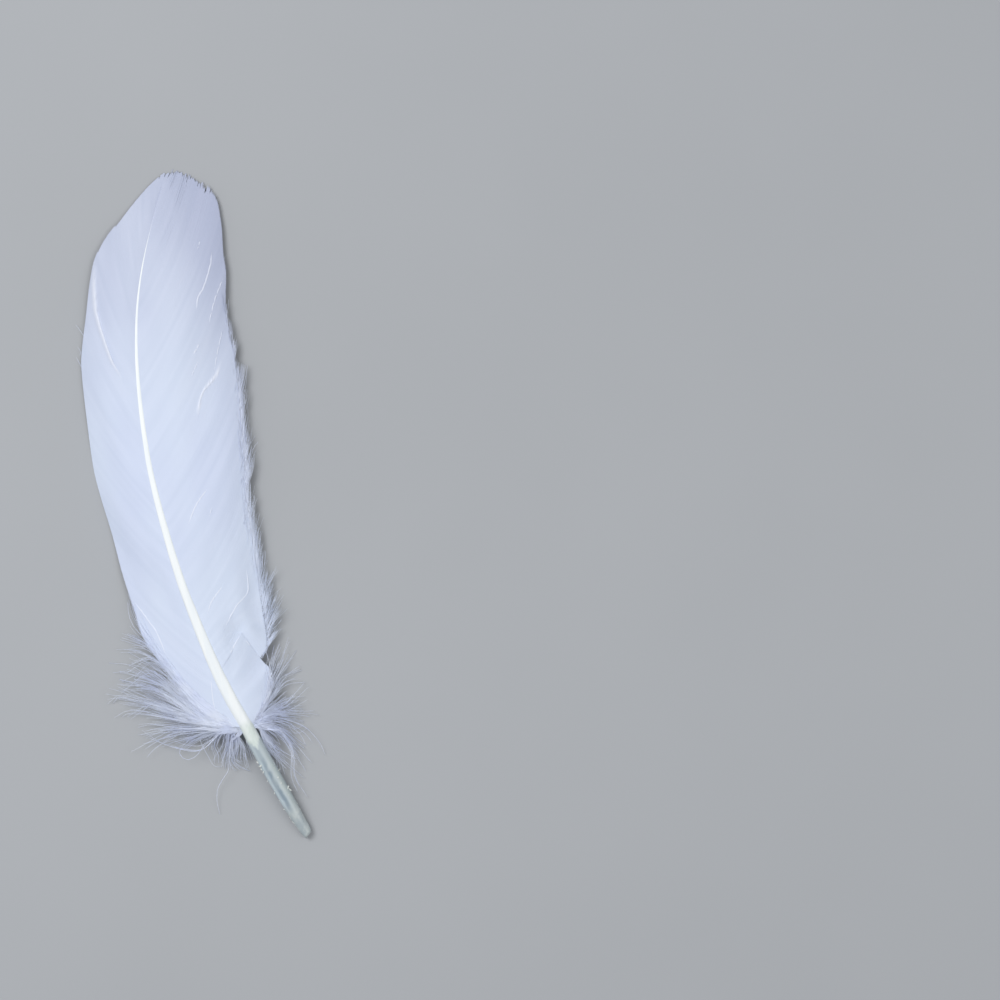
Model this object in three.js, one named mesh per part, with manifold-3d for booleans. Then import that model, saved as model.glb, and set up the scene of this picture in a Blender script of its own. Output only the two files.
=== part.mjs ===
// A goose quill feather, lying on its hollow underside. The bare quill, the shaft, the narrow left vane,
// the wide right vane, the ragged right edge and the tufts of down grew as one piece and are one solid.
// Millimetres. +Y runs along the feather to its tip, +X across it to the wide vane, and +Z up. The
// origin is on the surface that the feather lies on, under the middle of its box.

import * as THREE from 'three';
import { mergeVertices } from 'three/addons/utils/BufferGeometryUtils.js';
import Module from 'manifold-3d';

const wasm = await Module();
wasm.setup();

// --- Driving dimensions -------------------------------------------------------------------------------

// Ends of the feather along Y, and of its parts.
const QUILL_END = -90.8;
const SHAFT_TIP = 88.5;
const FEATHER_TIP = 91.1;
const LEFT_FOOT = -57.0;
const RIGHT_FOOT = -58.5;

// The shaft's centre line seen from above, [y, x]: it leans at the quill and bows to the left.
const SHAFT_PLAN = [
  [QUILL_END, 19.1], [-84, 17.0], [-74, 13.7], [-64.8, 10.3], [-57.5, 7.9], [-51, 5.6], [-42.5, 3.2],
  [-30, 0.5], [-17, -1.8], [-0.5, -3.5], [12, -4.15], [20, -4.1], [32, -3.4], [44, -2.05], [56, 0.35],
  [67, 3.9], [78.5, 8.65], [SHAFT_TIP, 13.2],
];

// The height of that centre line, [y, z]: a low arch from the quill's end to the tip.
const SHAFT_HEIGHT = [
  [QUILL_END, 1.25], [-84, 2.15], [-74, 3.25], [-57.5, 5.0], [-42.5, 6.4], [-20, 7.8], [0, 8.4],
  [20, 8.1], [40, 6.8], [60, 4.6], [75, 2.6], [SHAFT_TIP, 0.75],
];

// The shaft's width, [y, width]: a round quill with a blunt end, thinning to a hair at the tip.
const SHAFT_WIDTH = [
  [QUILL_END, 2.4], [-88, 3.15], [-84, 3.65], [-74, 3.9], [-62, 3.8], [-57.5, 3.4], [-51, 2.85],
  [-42.5, 2.45], [-25.5, 1.98], [-9, 1.55], [12, 1.3], [36, 0.9], [60, 0.65], [82, 0.55],
  [SHAFT_TIP, 0.5],
];

// Each vane: the edge seen from above, [y, x], the edge's height, [y, z], where on the edge a barb that
// leaves the shaft at a given y ends, [root y, edge y], and how wide barbs splay from the shaft.
const LEFT_VANE = {
  side: -1,
  foot: LEFT_FOOT,
  edge: [
    [-32.9, -13.6], [-29, -15.0], [-23.8, -15.5], [-12.6, -17.0], [-1.6, -17.8], [9.5, -19.0],
    [17, -19.4], [31, -18.6], [42, -17.7], [47, -16.9], [57.4, -13.6], [67.6, -10.3], [72.6, -8.0],
    [77.3, -4.1], [81.9, 1.4], [85.9, 6.2], [88.5, 9.7], [90.6, 13.6], [FEATHER_TIP, 15.6],
  ],
  height: [
    [-32.9, 2.2], [-20, 1.2], [0, 0.5], [20, 0.2], [45, 0.45], [70, 0.8], [85, 0.5],
    [FEATHER_TIP, 0.2],
  ],
  reach: [
    [LEFT_FOOT, -32.9], [-40, -13], [-20, 8], [0, 30], [20, 52], [35, 66], [50, 78.5], [70, 86.8],
    [85, 90.4], [SHAFT_TIP, 91.0],
  ],
  splay: 6,
};
const RIGHT_VANE = {
  side: 1,
  foot: RIGHT_FOOT,
  edge: [
    [-58.7, 10.9], [-56, 13.6], [-52.8, 15.6], [-47, 17.0], [-41, 17.5], [-34.8, 18.0], [-24.3, 18.4],
    [-15.7, 19.0], [-3, 19.9], [3.6, 20.4], [13.2, 20.4], [27.4, 22.2], [40.2, 23.6], [47, 23.2],
    [53, 23.8], [61.8, 25.6], [66.4, 25.8], [74, 26.7], [80.3, 26.9], [82, 26.6], [83.8, 25.7],
    [85.6, 24.4], [87.8, 21.9], [89.9, 19.2], [90.6, 17.4], [FEATHER_TIP, 15.2],
  ],
  height: [
    [-58.7, 3.6], [-50, 3.0], [-30, 2.5], [0, 2.7], [30, 2.6], [55, 2.1], [75, 1.4], [87, 0.7],
    [FEATHER_TIP, 0.2],
  ],
  reach: [
    [RIGHT_FOOT, -58.7], [-57, -53.5], [-55, -46.5], [-52, -38.5], [-48, -31.5], [-42.5, -23.5],
    [-30, -7], [-17, 11], [0, 34], [20, 60], [40, 83.5], [50, 87], [60, 89.3], [70, 90.2],
    [80, 90.8], [SHAFT_TIP, 91.0],
  ],
  splay: 9,
};

// Vane sheets: thickness at the shaft and at the edge, how late a barb droops, and the share by which
// its first point lies beyond the shaft's centre line, so that the two vanes and the shaft join.
const VANE_ROOT_THICKNESS = 0.46;
const VANE_EDGE_THICKNESS = 0.36;
const DROOP_POWER = 1.7;
const ROOT_LAP = 0.02;
const VANE_ROWS = 42;
const VANE_STRIPS = 5;
const ROW_BUNCHING = 1.2;

// Ragged edge: every second row of barbs ends short by this much, more at the tip than on the sides.
const TIP_TEETH = 0.9;
const SIDE_TEETH = 0.25;
const TEETH_FROM = 84;

// The split low on the wide vane: the rows that end here stop short by this depth.
const SPLIT_AT = -42.5;
const SPLIT_HALF_WIDTH = 1.6;
const SPLIT_DEPTH = 3.6;

// Locks: a bundle of down or of free barb ends, round, tapered and curved.
const SHAFT_SIDES = 8;
const SHAFT_STEPS = 36;
const LOCK_SIDES = 4;
const LOCK_STEPS = 4;
const DOWN_ROOT_RADIUS = 0.9;
const DOWN_TIP_RADIUS = 0.16;
const FRINGE_ROOT_RADIUS = 0.42;
const FRINGE_TIP_RADIUS = 0.12;

// --- Curves -------------------------------------------------------------------------------------------

// A smooth curve through [place, value] points, as a function of the place.
function through(points) {
  const slopes = points.map((point, i) => {
    const before = points[Math.max(i - 1, 0)];
    const after = points[Math.min(i + 1, points.length - 1)];
    return (after[1] - before[1]) / (after[0] - before[0]);
  });
  return (place) => {
    let i = 0;
    while (i < points.length - 2 && place > points[i + 1][0]) i += 1;
    const [from, start] = points[i];
    const [to, end] = points[i + 1];
    const span = to - from;
    const t = THREE.MathUtils.clamp((place - from) / span, 0, 1);
    const u = 1 - t;
    return start * u * u * (1 + 2 * t) + end * t * t * (3 - 2 * t)
      + span * t * u * (slopes[i] * u - slopes[i + 1] * t);
  };
}

const shaftX = through(SHAFT_PLAN);
const shaftZ = through(SHAFT_HEIGHT);
const shaftWidth = through(SHAFT_WIDTH);

const shaftPoint = (y) => new THREE.Vector3(shaftX(y), y, shaftZ(y));

for (const vane of [LEFT_VANE, RIGHT_VANE]) {
  vane.edgeX = through(vane.edge);
  vane.edgeZ = through(vane.height);
  vane.edgeY = through(vane.reach);
}

// How far a barb that ends at this y of the edge stops short of it.
function shortfall(vane, edgeY, row) {
  const tooth = row % 2 === 0 ? 0 : THREE.MathUtils.lerp(
    SIDE_TEETH, TIP_TEETH, THREE.MathUtils.smoothstep(edgeY, TEETH_FROM, FEATHER_TIP - 1));
  const fromSplit = Math.abs(edgeY - SPLIT_AT) / SPLIT_HALF_WIDTH;
  const split = vane.side > 0 ? SPLIT_DEPTH * Math.max(0, 1 - fromSplit) : 0;
  return tooth + split;
}

// The point at a share of a barb's way from the shaft (0) to the edge (1). The barb leaves the shaft
// at a wide angle and bends towards the tip, and it droops towards the edge.
function barbPoint(vane, rootY, share, short = 0) {
  const root = shaftPoint(rootY);
  const edgeY = vane.edgeY(rootY);
  const edge = new THREE.Vector3(vane.edgeX(edgeY), edgeY, vane.edgeZ(edgeY));
  const chord = edge.clone().sub(root);
  const flatLength = Math.hypot(chord.x, chord.y);
  edge.addScaledVector(chord, -short / flatLength);
  const half = chord.clone().multiplyScalar(0.5);
  half.applyAxisAngle(new THREE.Vector3(0, 0, 1), THREE.MathUtils.degToRad(-vane.side * vane.splay));
  const knee = root.clone().add(half);
  const plan = new THREE.QuadraticBezierCurve3(root, knee, edge).getPoint(Math.max(share, 0));
  if (share < 0) plan.addScaledVector(chord, share);
  plan.z = THREE.MathUtils.lerp(root.z, edge.z, Math.max(share, 0) ** DROOP_POWER);
  return plan;
}

// --- Solids -------------------------------------------------------------------------------------------

// Moves every vertex of a geometry to the point that a function gives for it.
function remap(geometry, place) {
  const position = geometry.getAttribute('position');
  const vertex = new THREE.Vector3();
  for (let i = 0; i < position.count; i += 1) {
    place(vertex.fromBufferAttribute(position, i));
    position.setXYZ(i, vertex.x, vertex.y, vertex.z);
  }
  return geometry;
}

// Bends an upright unit cylinder along a curve, with its half width and half depth at each share.
function bendAlong(cylinder, pointAt, halfWidthAt, halfDepthAt) {
  const up = new THREE.Vector3(0, 0, 1);
  const step = 0.01;
  return remap(cylinder, (vertex) => {
    const share = vertex.y + 0.5;
    const centre = pointAt(share);
    const ahead = pointAt(Math.min(share + step, 1)).sub(pointAt(Math.max(share - step, 0))).normalize();
    const across = ahead.clone().cross(up).normalize();
    const above = across.clone().cross(ahead);
    centre.addScaledVector(across, vertex.x * halfWidthAt(share));
    centre.addScaledVector(above, vertex.z * halfDepthAt(share));
    vertex.copy(centre);
  });
}

function shaft() {
  const cylinder = new THREE.CylinderGeometry(1, 1, 1, SHAFT_SIDES, SHAFT_STEPS);
  const along = (share) => THREE.MathUtils.lerp(QUILL_END, SHAFT_TIP, share);
  const half = (share) => shaftWidth(along(share)) / 2;
  return bendAlong(cylinder, (share) => shaftPoint(along(share)), half, half);
}

function vaneSheet(vane) {
  const sheet = new THREE.BoxGeometry(1, 1, 1, VANE_STRIPS, VANE_ROWS, 1);
  return remap(sheet, (vertex) => {
    const out = vane.side * vertex.x + 0.5;
    const row = Math.round((vertex.y + 0.5) * VANE_ROWS);
    const rootY = THREE.MathUtils.lerp(vane.foot, SHAFT_TIP, (row / VANE_ROWS) ** ROW_BUNCHING);
    const share = THREE.MathUtils.lerp(-ROOT_LAP, 1, out);
    const thickness = THREE.MathUtils.lerp(VANE_ROOT_THICKNESS, VANE_EDGE_THICKNESS, out);
    const side = vertex.z * thickness;
    vertex.copy(barbPoint(vane, rootY, share, shortfall(vane, vane.edgeY(rootY), row)));
    vertex.z += side;
  });
}

function lock(points, rootRadius, tipRadius) {
  const curve = new THREE.CatmullRomCurve3(points);
  const cylinder = new THREE.CylinderGeometry(1, 1, 1, LOCK_SIDES, LOCK_STEPS);
  const radius = (share) => THREE.MathUtils.lerp(rootRadius, tipRadius, share);
  return bendAlong(cylinder, (share) => curve.getPoint(share), radius, radius);
}

// --- Down and fringe ----------------------------------------------------------------------------------

// Roots of the locks: on the lowest left barb at a share of its length, inside the wide vane near its
// edge at a y, and on the shaft at a y.
const onLowBarb = (share) => barbPoint(LEFT_VANE, LEFT_FOOT + 0.6, share);
const onRightEdge = (y) => new THREE.Vector3(RIGHT_VANE.edgeX(y) - 1.2, y, RIGHT_VANE.edgeZ(y) + 0.2);
const onShaft = (y) => shaftPoint(y);

// The down, as [root, tip x, tip y, tip z, bow]. The bow is how far the lock's middle lies to the left of
// the straight way from root to tip.
const LEFT_DOWN = [
  [onLowBarb(0.97), -16.9, -18.0, 1.6, 1.0], [onLowBarb(0.94), -17.4, -22.0, 1.0, 1.2],
  [onLowBarb(0.9), -17.6, -27.1, 1.2, 0.4], [onLowBarb(0.85), -20.3, -29.2, 0.6, -0.4],
  [onLowBarb(0.8), -22.3, -32.1, 0.8, -0.8], [onLowBarb(0.75), -25.0, -35.7, 0.4, -0.6],
  [onLowBarb(0.7), -22.1, -36.0, 1.4, -0.8], [onLowBarb(0.62), -23.0, -39.9, 0.6, -0.8],
  [onLowBarb(0.56), -24.2, -42.0, 1.2, -1.2], [onLowBarb(0.48), -27.8, -43.1, 0.4, -1.2],
  [onLowBarb(0.42), -25.0, -46.2, 1.4, -1.6], [onLowBarb(0.36), -26.4, -49.6, 0.4, -2.4],
  [onLowBarb(0.3), -23.0, -50.0, 1.6, -1.6], [onLowBarb(0.24), -20.6, -53.5, 0.6, -1.4],
  [onLowBarb(0.18), -21.0, -55.6, 1.2, -1.6], [onLowBarb(0.12), -23.8, -59.9, 0.4, -1.2],
  [onLowBarb(0.08), -17.7, -57.4, 1.4, -1.2], [onLowBarb(0.05), -15.2, -60.2, 0.6, -1.4],
  [onShaft(-57.5), -11.6, -61.2, 1.2, -1.2], [onShaft(-58.5), -6.2, -63.0, 1.0, -1.0],
  [onShaft(-59), -2.2, -67.5, 0.4, 1.0], [onShaft(-59.4), -0.1, -68.7, 0.8, 0.8],
  [onShaft(-59.8), 3.5, -68.9, 0.4, 0.6], [onShaft(-60.2), 5.4, -69.5, 1.0, 0.4],
  [onShaft(-60.6), 6.9, -71.1, 0.4, -0.6],
];
const RIGHT_DOWN = [
  [onRightEdge(-44), 23.6, -36.8, 1.6, 0.6], [onRightEdge(-46.5), 25.0, -41.0, 0.6, 0.8],
  [onRightEdge(-49), 25.2, -46.2, 1.4, 0.8], [onRightEdge(-51), 26.6, -50.8, 0.4, 1.0],
  [onRightEdge(-53), 24.6, -53.4, 1.4, 0.8], [onRightEdge(-55), 27.7, -58.7, 0.4, 1.6],
  [onRightEdge(-56.5), 23.6, -58.0, 1.2, 1.2], [onShaft(-58), 21.8, -61.0, 0.4, 1.4],
  [onShaft(-58.6), 27.2, -70.2, 0.4, 1.6], [onShaft(-59.2), 22.2, -67.7, 1.2, 1.2],
  [onShaft(-59.8), 21.1, -75.3, 0.4, 1.4], [onShaft(-60.4), 20.6, -80.4, 0.6, 2.0],
  [onShaft(-61), 15.9, -73.3, 0.4, -0.2],
];

// Two longer strands under the foot of the narrow vane: a hooked one and a trailing one.
const HOOK = [
  onShaft(-58.2), new THREE.Vector3(-1.5, -58.8, 2.6), new THREE.Vector3(-9.6, -60.2, 1.0),
  new THREE.Vector3(-10.0, -63.6, 0.5), new THREE.Vector3(-6.5, -64.5, 0.4),
  new THREE.Vector3(-4.0, -61.6, 0.8),
];
const TRAIL = [
  onShaft(-59.6), new THREE.Vector3(1.6, -69.0, 1.0), new THREE.Vector3(-2.9, -74.4, 0.4),
  new THREE.Vector3(-3.3, -80.3, 0.4),
];
const TRAIL_RADIUS = 0.3;

function downLock([root, x, y, z, bow]) {
  const tip = new THREE.Vector3(x, y, z);
  const way = tip.clone().sub(root);
  const left = new THREE.Vector3(-way.y, way.x, 0).normalize();
  const middle = root.clone().lerp(tip, 0.55).addScaledVector(left, bow);
  middle.z = THREE.MathUtils.lerp(root.z, z, 0.75);
  return lock([root, middle, tip], DOWN_ROOT_RADIUS, DOWN_TIP_RADIUS);
}

// Free barb ends along the wide vane's edge. They point to the tip and stand out a little further
// towards the foot, where the strands are looser.
const FRINGE_FROM = -38;
const FRINGE_TO = 58;
const FRINGE_LOCKS = 16;
const FRINGE_LENGTH = [11.5, 5.5];
const FRINGE_STAND_OUT = [5.6, 0.6];
const FRINGE_DROP = 0.6;

function fringeLock(i) {
  const share = i / (FRINGE_LOCKS - 1);
  const y = THREE.MathUtils.lerp(FRINGE_FROM, FRINGE_TO, share);
  const uneven = i % 3 === 1 ? 0.72 : 1;
  const length = THREE.MathUtils.lerp(FRINGE_LENGTH[0], FRINGE_LENGTH[1], share) * uneven;
  const out = THREE.MathUtils.lerp(FRINGE_STAND_OUT[0], FRINGE_STAND_OUT[1], Math.sqrt(share)) * uneven;
  const root = onRightEdge(y);
  const tip = new THREE.Vector3(RIGHT_VANE.edgeX(y + length) + out, y + length, root.z - FRINGE_DROP);
  const middle = root.clone().lerp(tip, 0.5);
  middle.x += 0.16 * out;
  return lock([root, middle, tip], FRINGE_ROOT_RADIUS, FRINGE_TIP_RADIUS);
}

// --- The feather --------------------------------------------------------------------------------------

function solidOf(geometry) {
  geometry.deleteAttribute('normal');
  geometry.deleteAttribute('uv');
  const merged = mergeVertices(geometry, 1e-4);
  return new wasm.Manifold(new wasm.Mesh({
    numProp: 3,
    vertProperties: new Float32Array(merged.getAttribute('position').array),
    triVerts: new Uint32Array(merged.getIndex().array),
  }));
}

function geometryOf(solid) {
  const mesh = solid.getMesh();
  const geometry = new THREE.BufferGeometry();
  geometry.setAttribute('position', new THREE.BufferAttribute(mesh.vertProperties, 3));
  geometry.setIndex(new THREE.BufferAttribute(mesh.triVerts, 1));
  return geometry;
}

function feather() {
  const parts = [
    shaft(),
    vaneSheet(LEFT_VANE),
    vaneSheet(RIGHT_VANE),
    ...LEFT_DOWN.map(downLock),
    ...RIGHT_DOWN.map(downLock),
    lock(HOOK, DOWN_ROOT_RADIUS, DOWN_TIP_RADIUS),
    lock(TRAIL, TRAIL_RADIUS, DOWN_TIP_RADIUS),
    ...Array.from({ length: FRINGE_LOCKS }, (_, i) => fringeLock(i)),
  ];
  const whole = parts.map(solidOf).reduce((joined, next) => joined.add(next));
  const material = new THREE.MeshStandardMaterial({ color: 0xdde3f2, roughness: 0.75, metalness: 0 });
  const mesh = new THREE.Mesh(geometryOf(whole), material);
  mesh.name = 'feather';
  return mesh;
}

const object = new THREE.Group();
object.add(feather());

export default object;
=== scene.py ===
"""A white goose quill feather, lying on a pale surface under soft studio light.

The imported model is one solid, "feather". Pieces made of single barbs, strands and hairs stand for it here:
the shaft with its quill, dry skin flakes on the quill, the narrow left vane, the wide right vane with its
free barb ends, a tuft of down on each side of the foot, and a few stray hairs. Shapes are worked out in
millimetres from a few curves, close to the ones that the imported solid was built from, and become metres
when a mesh is made.
"""

import math

import bpy
import numpy as np
from mathutils.kdtree import KDTree
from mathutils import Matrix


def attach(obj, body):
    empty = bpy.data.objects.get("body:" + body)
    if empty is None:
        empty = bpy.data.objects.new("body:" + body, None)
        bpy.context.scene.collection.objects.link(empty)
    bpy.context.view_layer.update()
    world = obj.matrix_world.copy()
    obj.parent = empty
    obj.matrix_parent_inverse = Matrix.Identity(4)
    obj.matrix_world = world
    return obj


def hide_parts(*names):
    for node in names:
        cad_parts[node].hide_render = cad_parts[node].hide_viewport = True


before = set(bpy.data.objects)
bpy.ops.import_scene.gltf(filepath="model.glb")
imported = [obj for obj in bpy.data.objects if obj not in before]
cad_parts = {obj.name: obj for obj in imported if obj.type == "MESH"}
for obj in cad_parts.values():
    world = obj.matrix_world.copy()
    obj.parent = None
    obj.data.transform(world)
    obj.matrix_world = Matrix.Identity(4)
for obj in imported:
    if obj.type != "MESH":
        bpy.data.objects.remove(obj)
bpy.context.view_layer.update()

MM = 0.001


# --- Driving dimensions, in millimetres ---------------------------------------------------------------

QUILL_END = -90.8
QUILL_TOP = -57.5
SHAFT_TIP = 88.5
FEATHER_TIP = 91.1

# The shaft: centre line from above [y, x], its height [y, z] and its width [y, width].
SHAFT_PLAN = [
    [QUILL_END, 18.85], [-84, 16.45], [-74, 13.1], [-64.8, 10.15], [-57.5, 8.0], [-51, 5.8], [-42.5, 3.45],
    [-30, 0.85], [-17, -1.4], [-0.5, -3.1], [12, -3.8], [20, -3.75], [32, -3.1], [44, -1.8], [56, 0.5],
    [67, 3.9], [78.5, 8.65], [SHAFT_TIP, 13.2],
]
SHAFT_HEIGHT = [
    [QUILL_END, 1.25], [-84, 2.15], [-74, 3.25], [-57.5, 5.0], [-42.5, 6.4], [-20, 7.8], [0, 8.4],
    [20, 8.1], [40, 6.8], [60, 4.6], [75, 2.6], [SHAFT_TIP, 0.75],
]
SHAFT_WIDTH = [
    [QUILL_END, 2.2], [-88, 3.0], [-84, 3.55], [-74, 3.95], [-62, 3.8], [-57.5, 3.75], [-51, 3.6],
    [-42.5, 3.2], [-25.5, 2.6], [-9, 2.1], [12, 1.65], [36, 1.15], [60, 0.74], [74, 0.45], [80, 0.26],
    [84, 0.12], [SHAFT_TIP, 0.06],
]

# Barbs leave the shaft this share of its width above its centre line.
ROOT_RISE = 0.28

# Barbs droop late on their way from the shaft to the edge.
DROOP_POWER = 1.7


# --- Curves and noise ---------------------------------------------------------------------------------

def through(points):
    """A smooth curve through [place, value] points, as a function of an array of places."""
    places, values = np.array(points, float).T
    slopes = np.empty(len(places))
    slopes[1:-1] = (values[2:] - values[:-2]) / (places[2:] - places[:-2])
    slopes[0] = (values[1] - values[0]) / (places[1] - places[0])
    slopes[-1] = (values[-1] - values[-2]) / (places[-1] - places[-2])

    def at(place):
        place = np.asarray(place, float)
        i = np.searchsorted(places[1:-1], place, side="left")
        span = places[i + 1] - places[i]
        t = np.clip((place - places[i]) / span, 0, 1)
        u = 1 - t
        return (
            values[i] * u * u * (1 + 2 * t)
            + values[i + 1] * t * t * (3 - 2 * t)
            + span * t * u * (slopes[i] * u - slopes[i + 1] * t)
        )

    return at


def curve_through(points):
    """A smooth curve through points in space, as a function of the share of the way along it."""
    lengths = np.linalg.norm(np.diff(points, axis=0), axis=1)
    share = np.concatenate([[0], np.cumsum(lengths)]) / lengths.sum()
    axes = [through(np.stack([share, points[:, k]], axis=-1)) for k in range(3)]
    return lambda t: np.stack([axis(t) for axis in axes], axis=-1)


def smooth(low, high, value):
    """0 below low, 1 above high, and an even S between them."""
    t = np.clip((np.asarray(value, float) - low) / (high - low), 0, 1)
    return t * t * (3 - 2 * t)


def lerp(start, end, share):
    return start + (end - start) * share


def unit(vectors):
    return vectors / np.maximum(np.linalg.norm(vectors, axis=-1, keepdims=True), 1e-12)


def wander(rng, rows, columns, row_cells, column_cells):
    """Smooth noise from -1 to 1 on a grid, with about the given number of waves each way."""
    coarse = rng.uniform(-1, 1, (row_cells + 2, column_cells + 2))
    r = np.linspace(0, row_cells, rows)
    c = np.linspace(0, column_cells, columns)
    ri = np.minimum(r.astype(int), row_cells)
    ci = np.minimum(c.astype(int), column_cells)
    rt = smooth(0, 1, r - ri)[:, None]
    ct = smooth(0, 1, c - ci)[None, :]
    a = coarse[ri][:, ci] * (1 - ct) + coarse[ri][:, ci + 1] * ct
    b = coarse[ri + 1][:, ci] * (1 - ct) + coarse[ri + 1][:, ci + 1] * ct
    return a * (1 - rt) + b * rt


shaft_x = through(SHAFT_PLAN)
shaft_z = through(SHAFT_HEIGHT)
shaft_width = through(SHAFT_WIDTH)

# The line where the two vanes meet, which runs on past the shaft's tip.
middle_x = through(SHAFT_PLAN + [[FEATHER_TIP, 15.4]])


def shaft_point(y):
    y = np.asarray(y, float)
    return np.stack([shaft_x(y), y, shaft_z(y)], axis=-1)


# --- Meshes -------------------------------------------------------------------------------------------

def make_mesh(name, vertices, faces, uv=None, smooth_faces=True, values=None):
    """A mesh object from points in millimetres and arrays of faces, each with one number of corners."""
    mesh = bpy.data.meshes.new(name)
    mesh.vertices.add(len(vertices))
    mesh.vertices.foreach_set("co", (np.asarray(vertices) * MM).astype(np.float32).ravel())
    corners = np.concatenate([group.ravel() for group in faces]).astype(np.int32)
    counts = np.concatenate([np.full(len(group), group.shape[1]) for group in faces])
    starts = np.concatenate([[0], np.cumsum(counts)[:-1]]).astype(np.int32)
    mesh.loops.add(len(corners))
    mesh.loops.foreach_set("vertex_index", corners)
    mesh.polygons.add(len(counts))
    mesh.polygons.foreach_set("loop_start", starts)
    mesh.polygons.foreach_set("use_smooth", np.full(len(counts), smooth_faces))
    mesh.update(calc_edges=True)
    for key, data in (values or {}).items():
        attribute = mesh.attributes.new(key, "FLOAT", "POINT")
        attribute.data.foreach_set("value", np.asarray(data, np.float32).ravel())
    if uv is not None:
        layer = mesh.uv_layers.new(name="OFBake")
        layer.data.foreach_set("uv", uv[corners].astype(np.float32).ravel())
    piece = bpy.data.objects.new(name, mesh)
    bpy.context.scene.collection.objects.link(piece)
    return piece


def joined(*parts):
    """Several sets of vertices and face groups as one set."""
    vertices, faces, shift = [], [], 0
    for points, groups in parts:
        vertices.append(points)
        faces += [group + shift for group in groups]
        shift += len(points)
    return np.concatenate(vertices), faces


# The margin of a piece's map, and how far the map from above leans over.
MAP_MARGIN = 0.002
MAP_LEAN = [0.13, 0.17]


def map_from_above(vertices):
    """A map of a piece as seen from above, leant over a little so that no upright face is a line."""
    flat = vertices[:, :2] + vertices[:, 2:] * MAP_LEAN
    low, high = flat.min(axis=0), flat.max(axis=0)
    return lerp(MAP_MARGIN, 1 - MAP_MARGIN, (flat - low) / (high - low).max())


def tubes(paths, across, above, half_width, half_depth, ring):
    """Vertices and faces of closed tubes.

    paths is (tubes, steps, 3), across and above are unit vectors of the same shape, the halves are
    (tubes, steps), and ring is the section's outline, (sides, 2), in units of the halves.
    """
    count, steps, _ = paths.shape
    sides = len(ring)
    vertices = (
        paths[:, :, None]
        + across[:, :, None] * (half_width[:, :, None] * ring[:, 0])[..., None]
        + above[:, :, None] * (half_depth[:, :, None] * ring[:, 1])[..., None]
    )
    index = np.arange(count * steps * sides).reshape(count, steps, sides)
    after = np.roll(index, -1, axis=2)
    quads = np.stack([index[:, :-1], after[:, :-1], after[:, 1:], index[:, 1:]], axis=-1)
    first, last = index[:, 0, ::-1], index[:, -1]
    return vertices.reshape(-1, 3), [quads.reshape(-1, 4), first, last]


def frames_along(paths):
    """Unit vectors across and above each point of paths, with above as near to +Z as can be."""
    ahead = unit(np.gradient(paths, axis=1))
    across = unit(np.cross(ahead, [0.0, 0.0, 1.0]))
    return across, np.cross(across, ahead)


def ring_of(sides, turn=0.0):
    angle = turn + np.arange(sides) * 2 * math.pi / sides
    return np.stack([np.cos(angle), np.sin(angle)], axis=-1)


# A sheet's height at a point comes from this many of its points, mostly from the nearest ones.
SHEET_NEIGHBOURS = 4
SHEET_BLUR = 0.05


def sheet_under(sheet, points):
    """How high a vane's sheet lies at each point, seen from above, and how far off it is there."""
    tree = KDTree(len(sheet))
    for i, (x, y, _) in enumerate(sheet):
        tree.insert((x, y, 0), i)
    tree.balance()
    heights, gaps = [], []
    for x, y, _ in points.reshape(-1, 3):
        _, index, gap = zip(*tree.find_n((x, y, 0), SHEET_NEIGHBOURS))
        weight = 1 / (np.array(gap) + SHEET_BLUR)
        heights.append((sheet[list(index), 2] * weight).sum() / weight.sum())
        gaps.append(gap[0])
    return np.reshape(heights, points.shape[:-1]), np.reshape(gaps, points.shape[:-1])


# --- Vanes --------------------------------------------------------------------------------------------

# Each vane: the edge from above [y, x], the edge's height [y, z], where on the edge a barb that leaves
# the shaft at a y ends [root y, edge y], the angle by which barbs first splay from that way [root y,
# degrees], and how far up their way they bend [root y, share of half the way].
LEFT_VANE = {
    "side": -1,
    "foot": -58.8,
    "edge": through([
        [-34.6, -12.7], [-32.9, -13.6], [-29, -15.0], [-23.8, -15.5], [-12.6, -17.0], [-1.6, -17.8],
        [9.5, -19.0], [17, -19.4], [31, -18.6], [42, -17.7], [47, -16.9], [57.4, -13.6], [67.6, -10.3],
        [72.6, -8.0], [77.3, -4.1], [81.9, 1.4], [85.9, 6.2], [88.5, 9.7], [90.6, 13.6],
        [FEATHER_TIP, 15.6],
    ]),
    "height": through([
        [-34.6, 2.3], [-20, 1.2], [0, 0.5], [20, 0.2], [45, 0.45], [70, 0.8], [85, 0.5],
        [FEATHER_TIP, 0.2],
    ]),
    "reach": through([
        [-58.8, -34.6], [-55, -30.5], [-40, -13], [-20, 8], [0, 30], [20, 52], [35, 66], [50, 78.5],
        [70, 86.8], [85, 90.4], [SHAFT_TIP, 91.0],
    ]),
    "splay": through([[-58.8, 42], [-55, 30], [-50, 16], [-44, 8], [-36, 6], [SHAFT_TIP, 6]]),
    "knee": through([[-58.8, 0.7], [-50, 0.85], [-42, 1], [SHAFT_TIP, 1]]),
    "ragged": through([[-33, 0.12], [89.6, 0.12], [90.6, 0.9], [FEATHER_TIP, 1.2]]),
}
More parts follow.
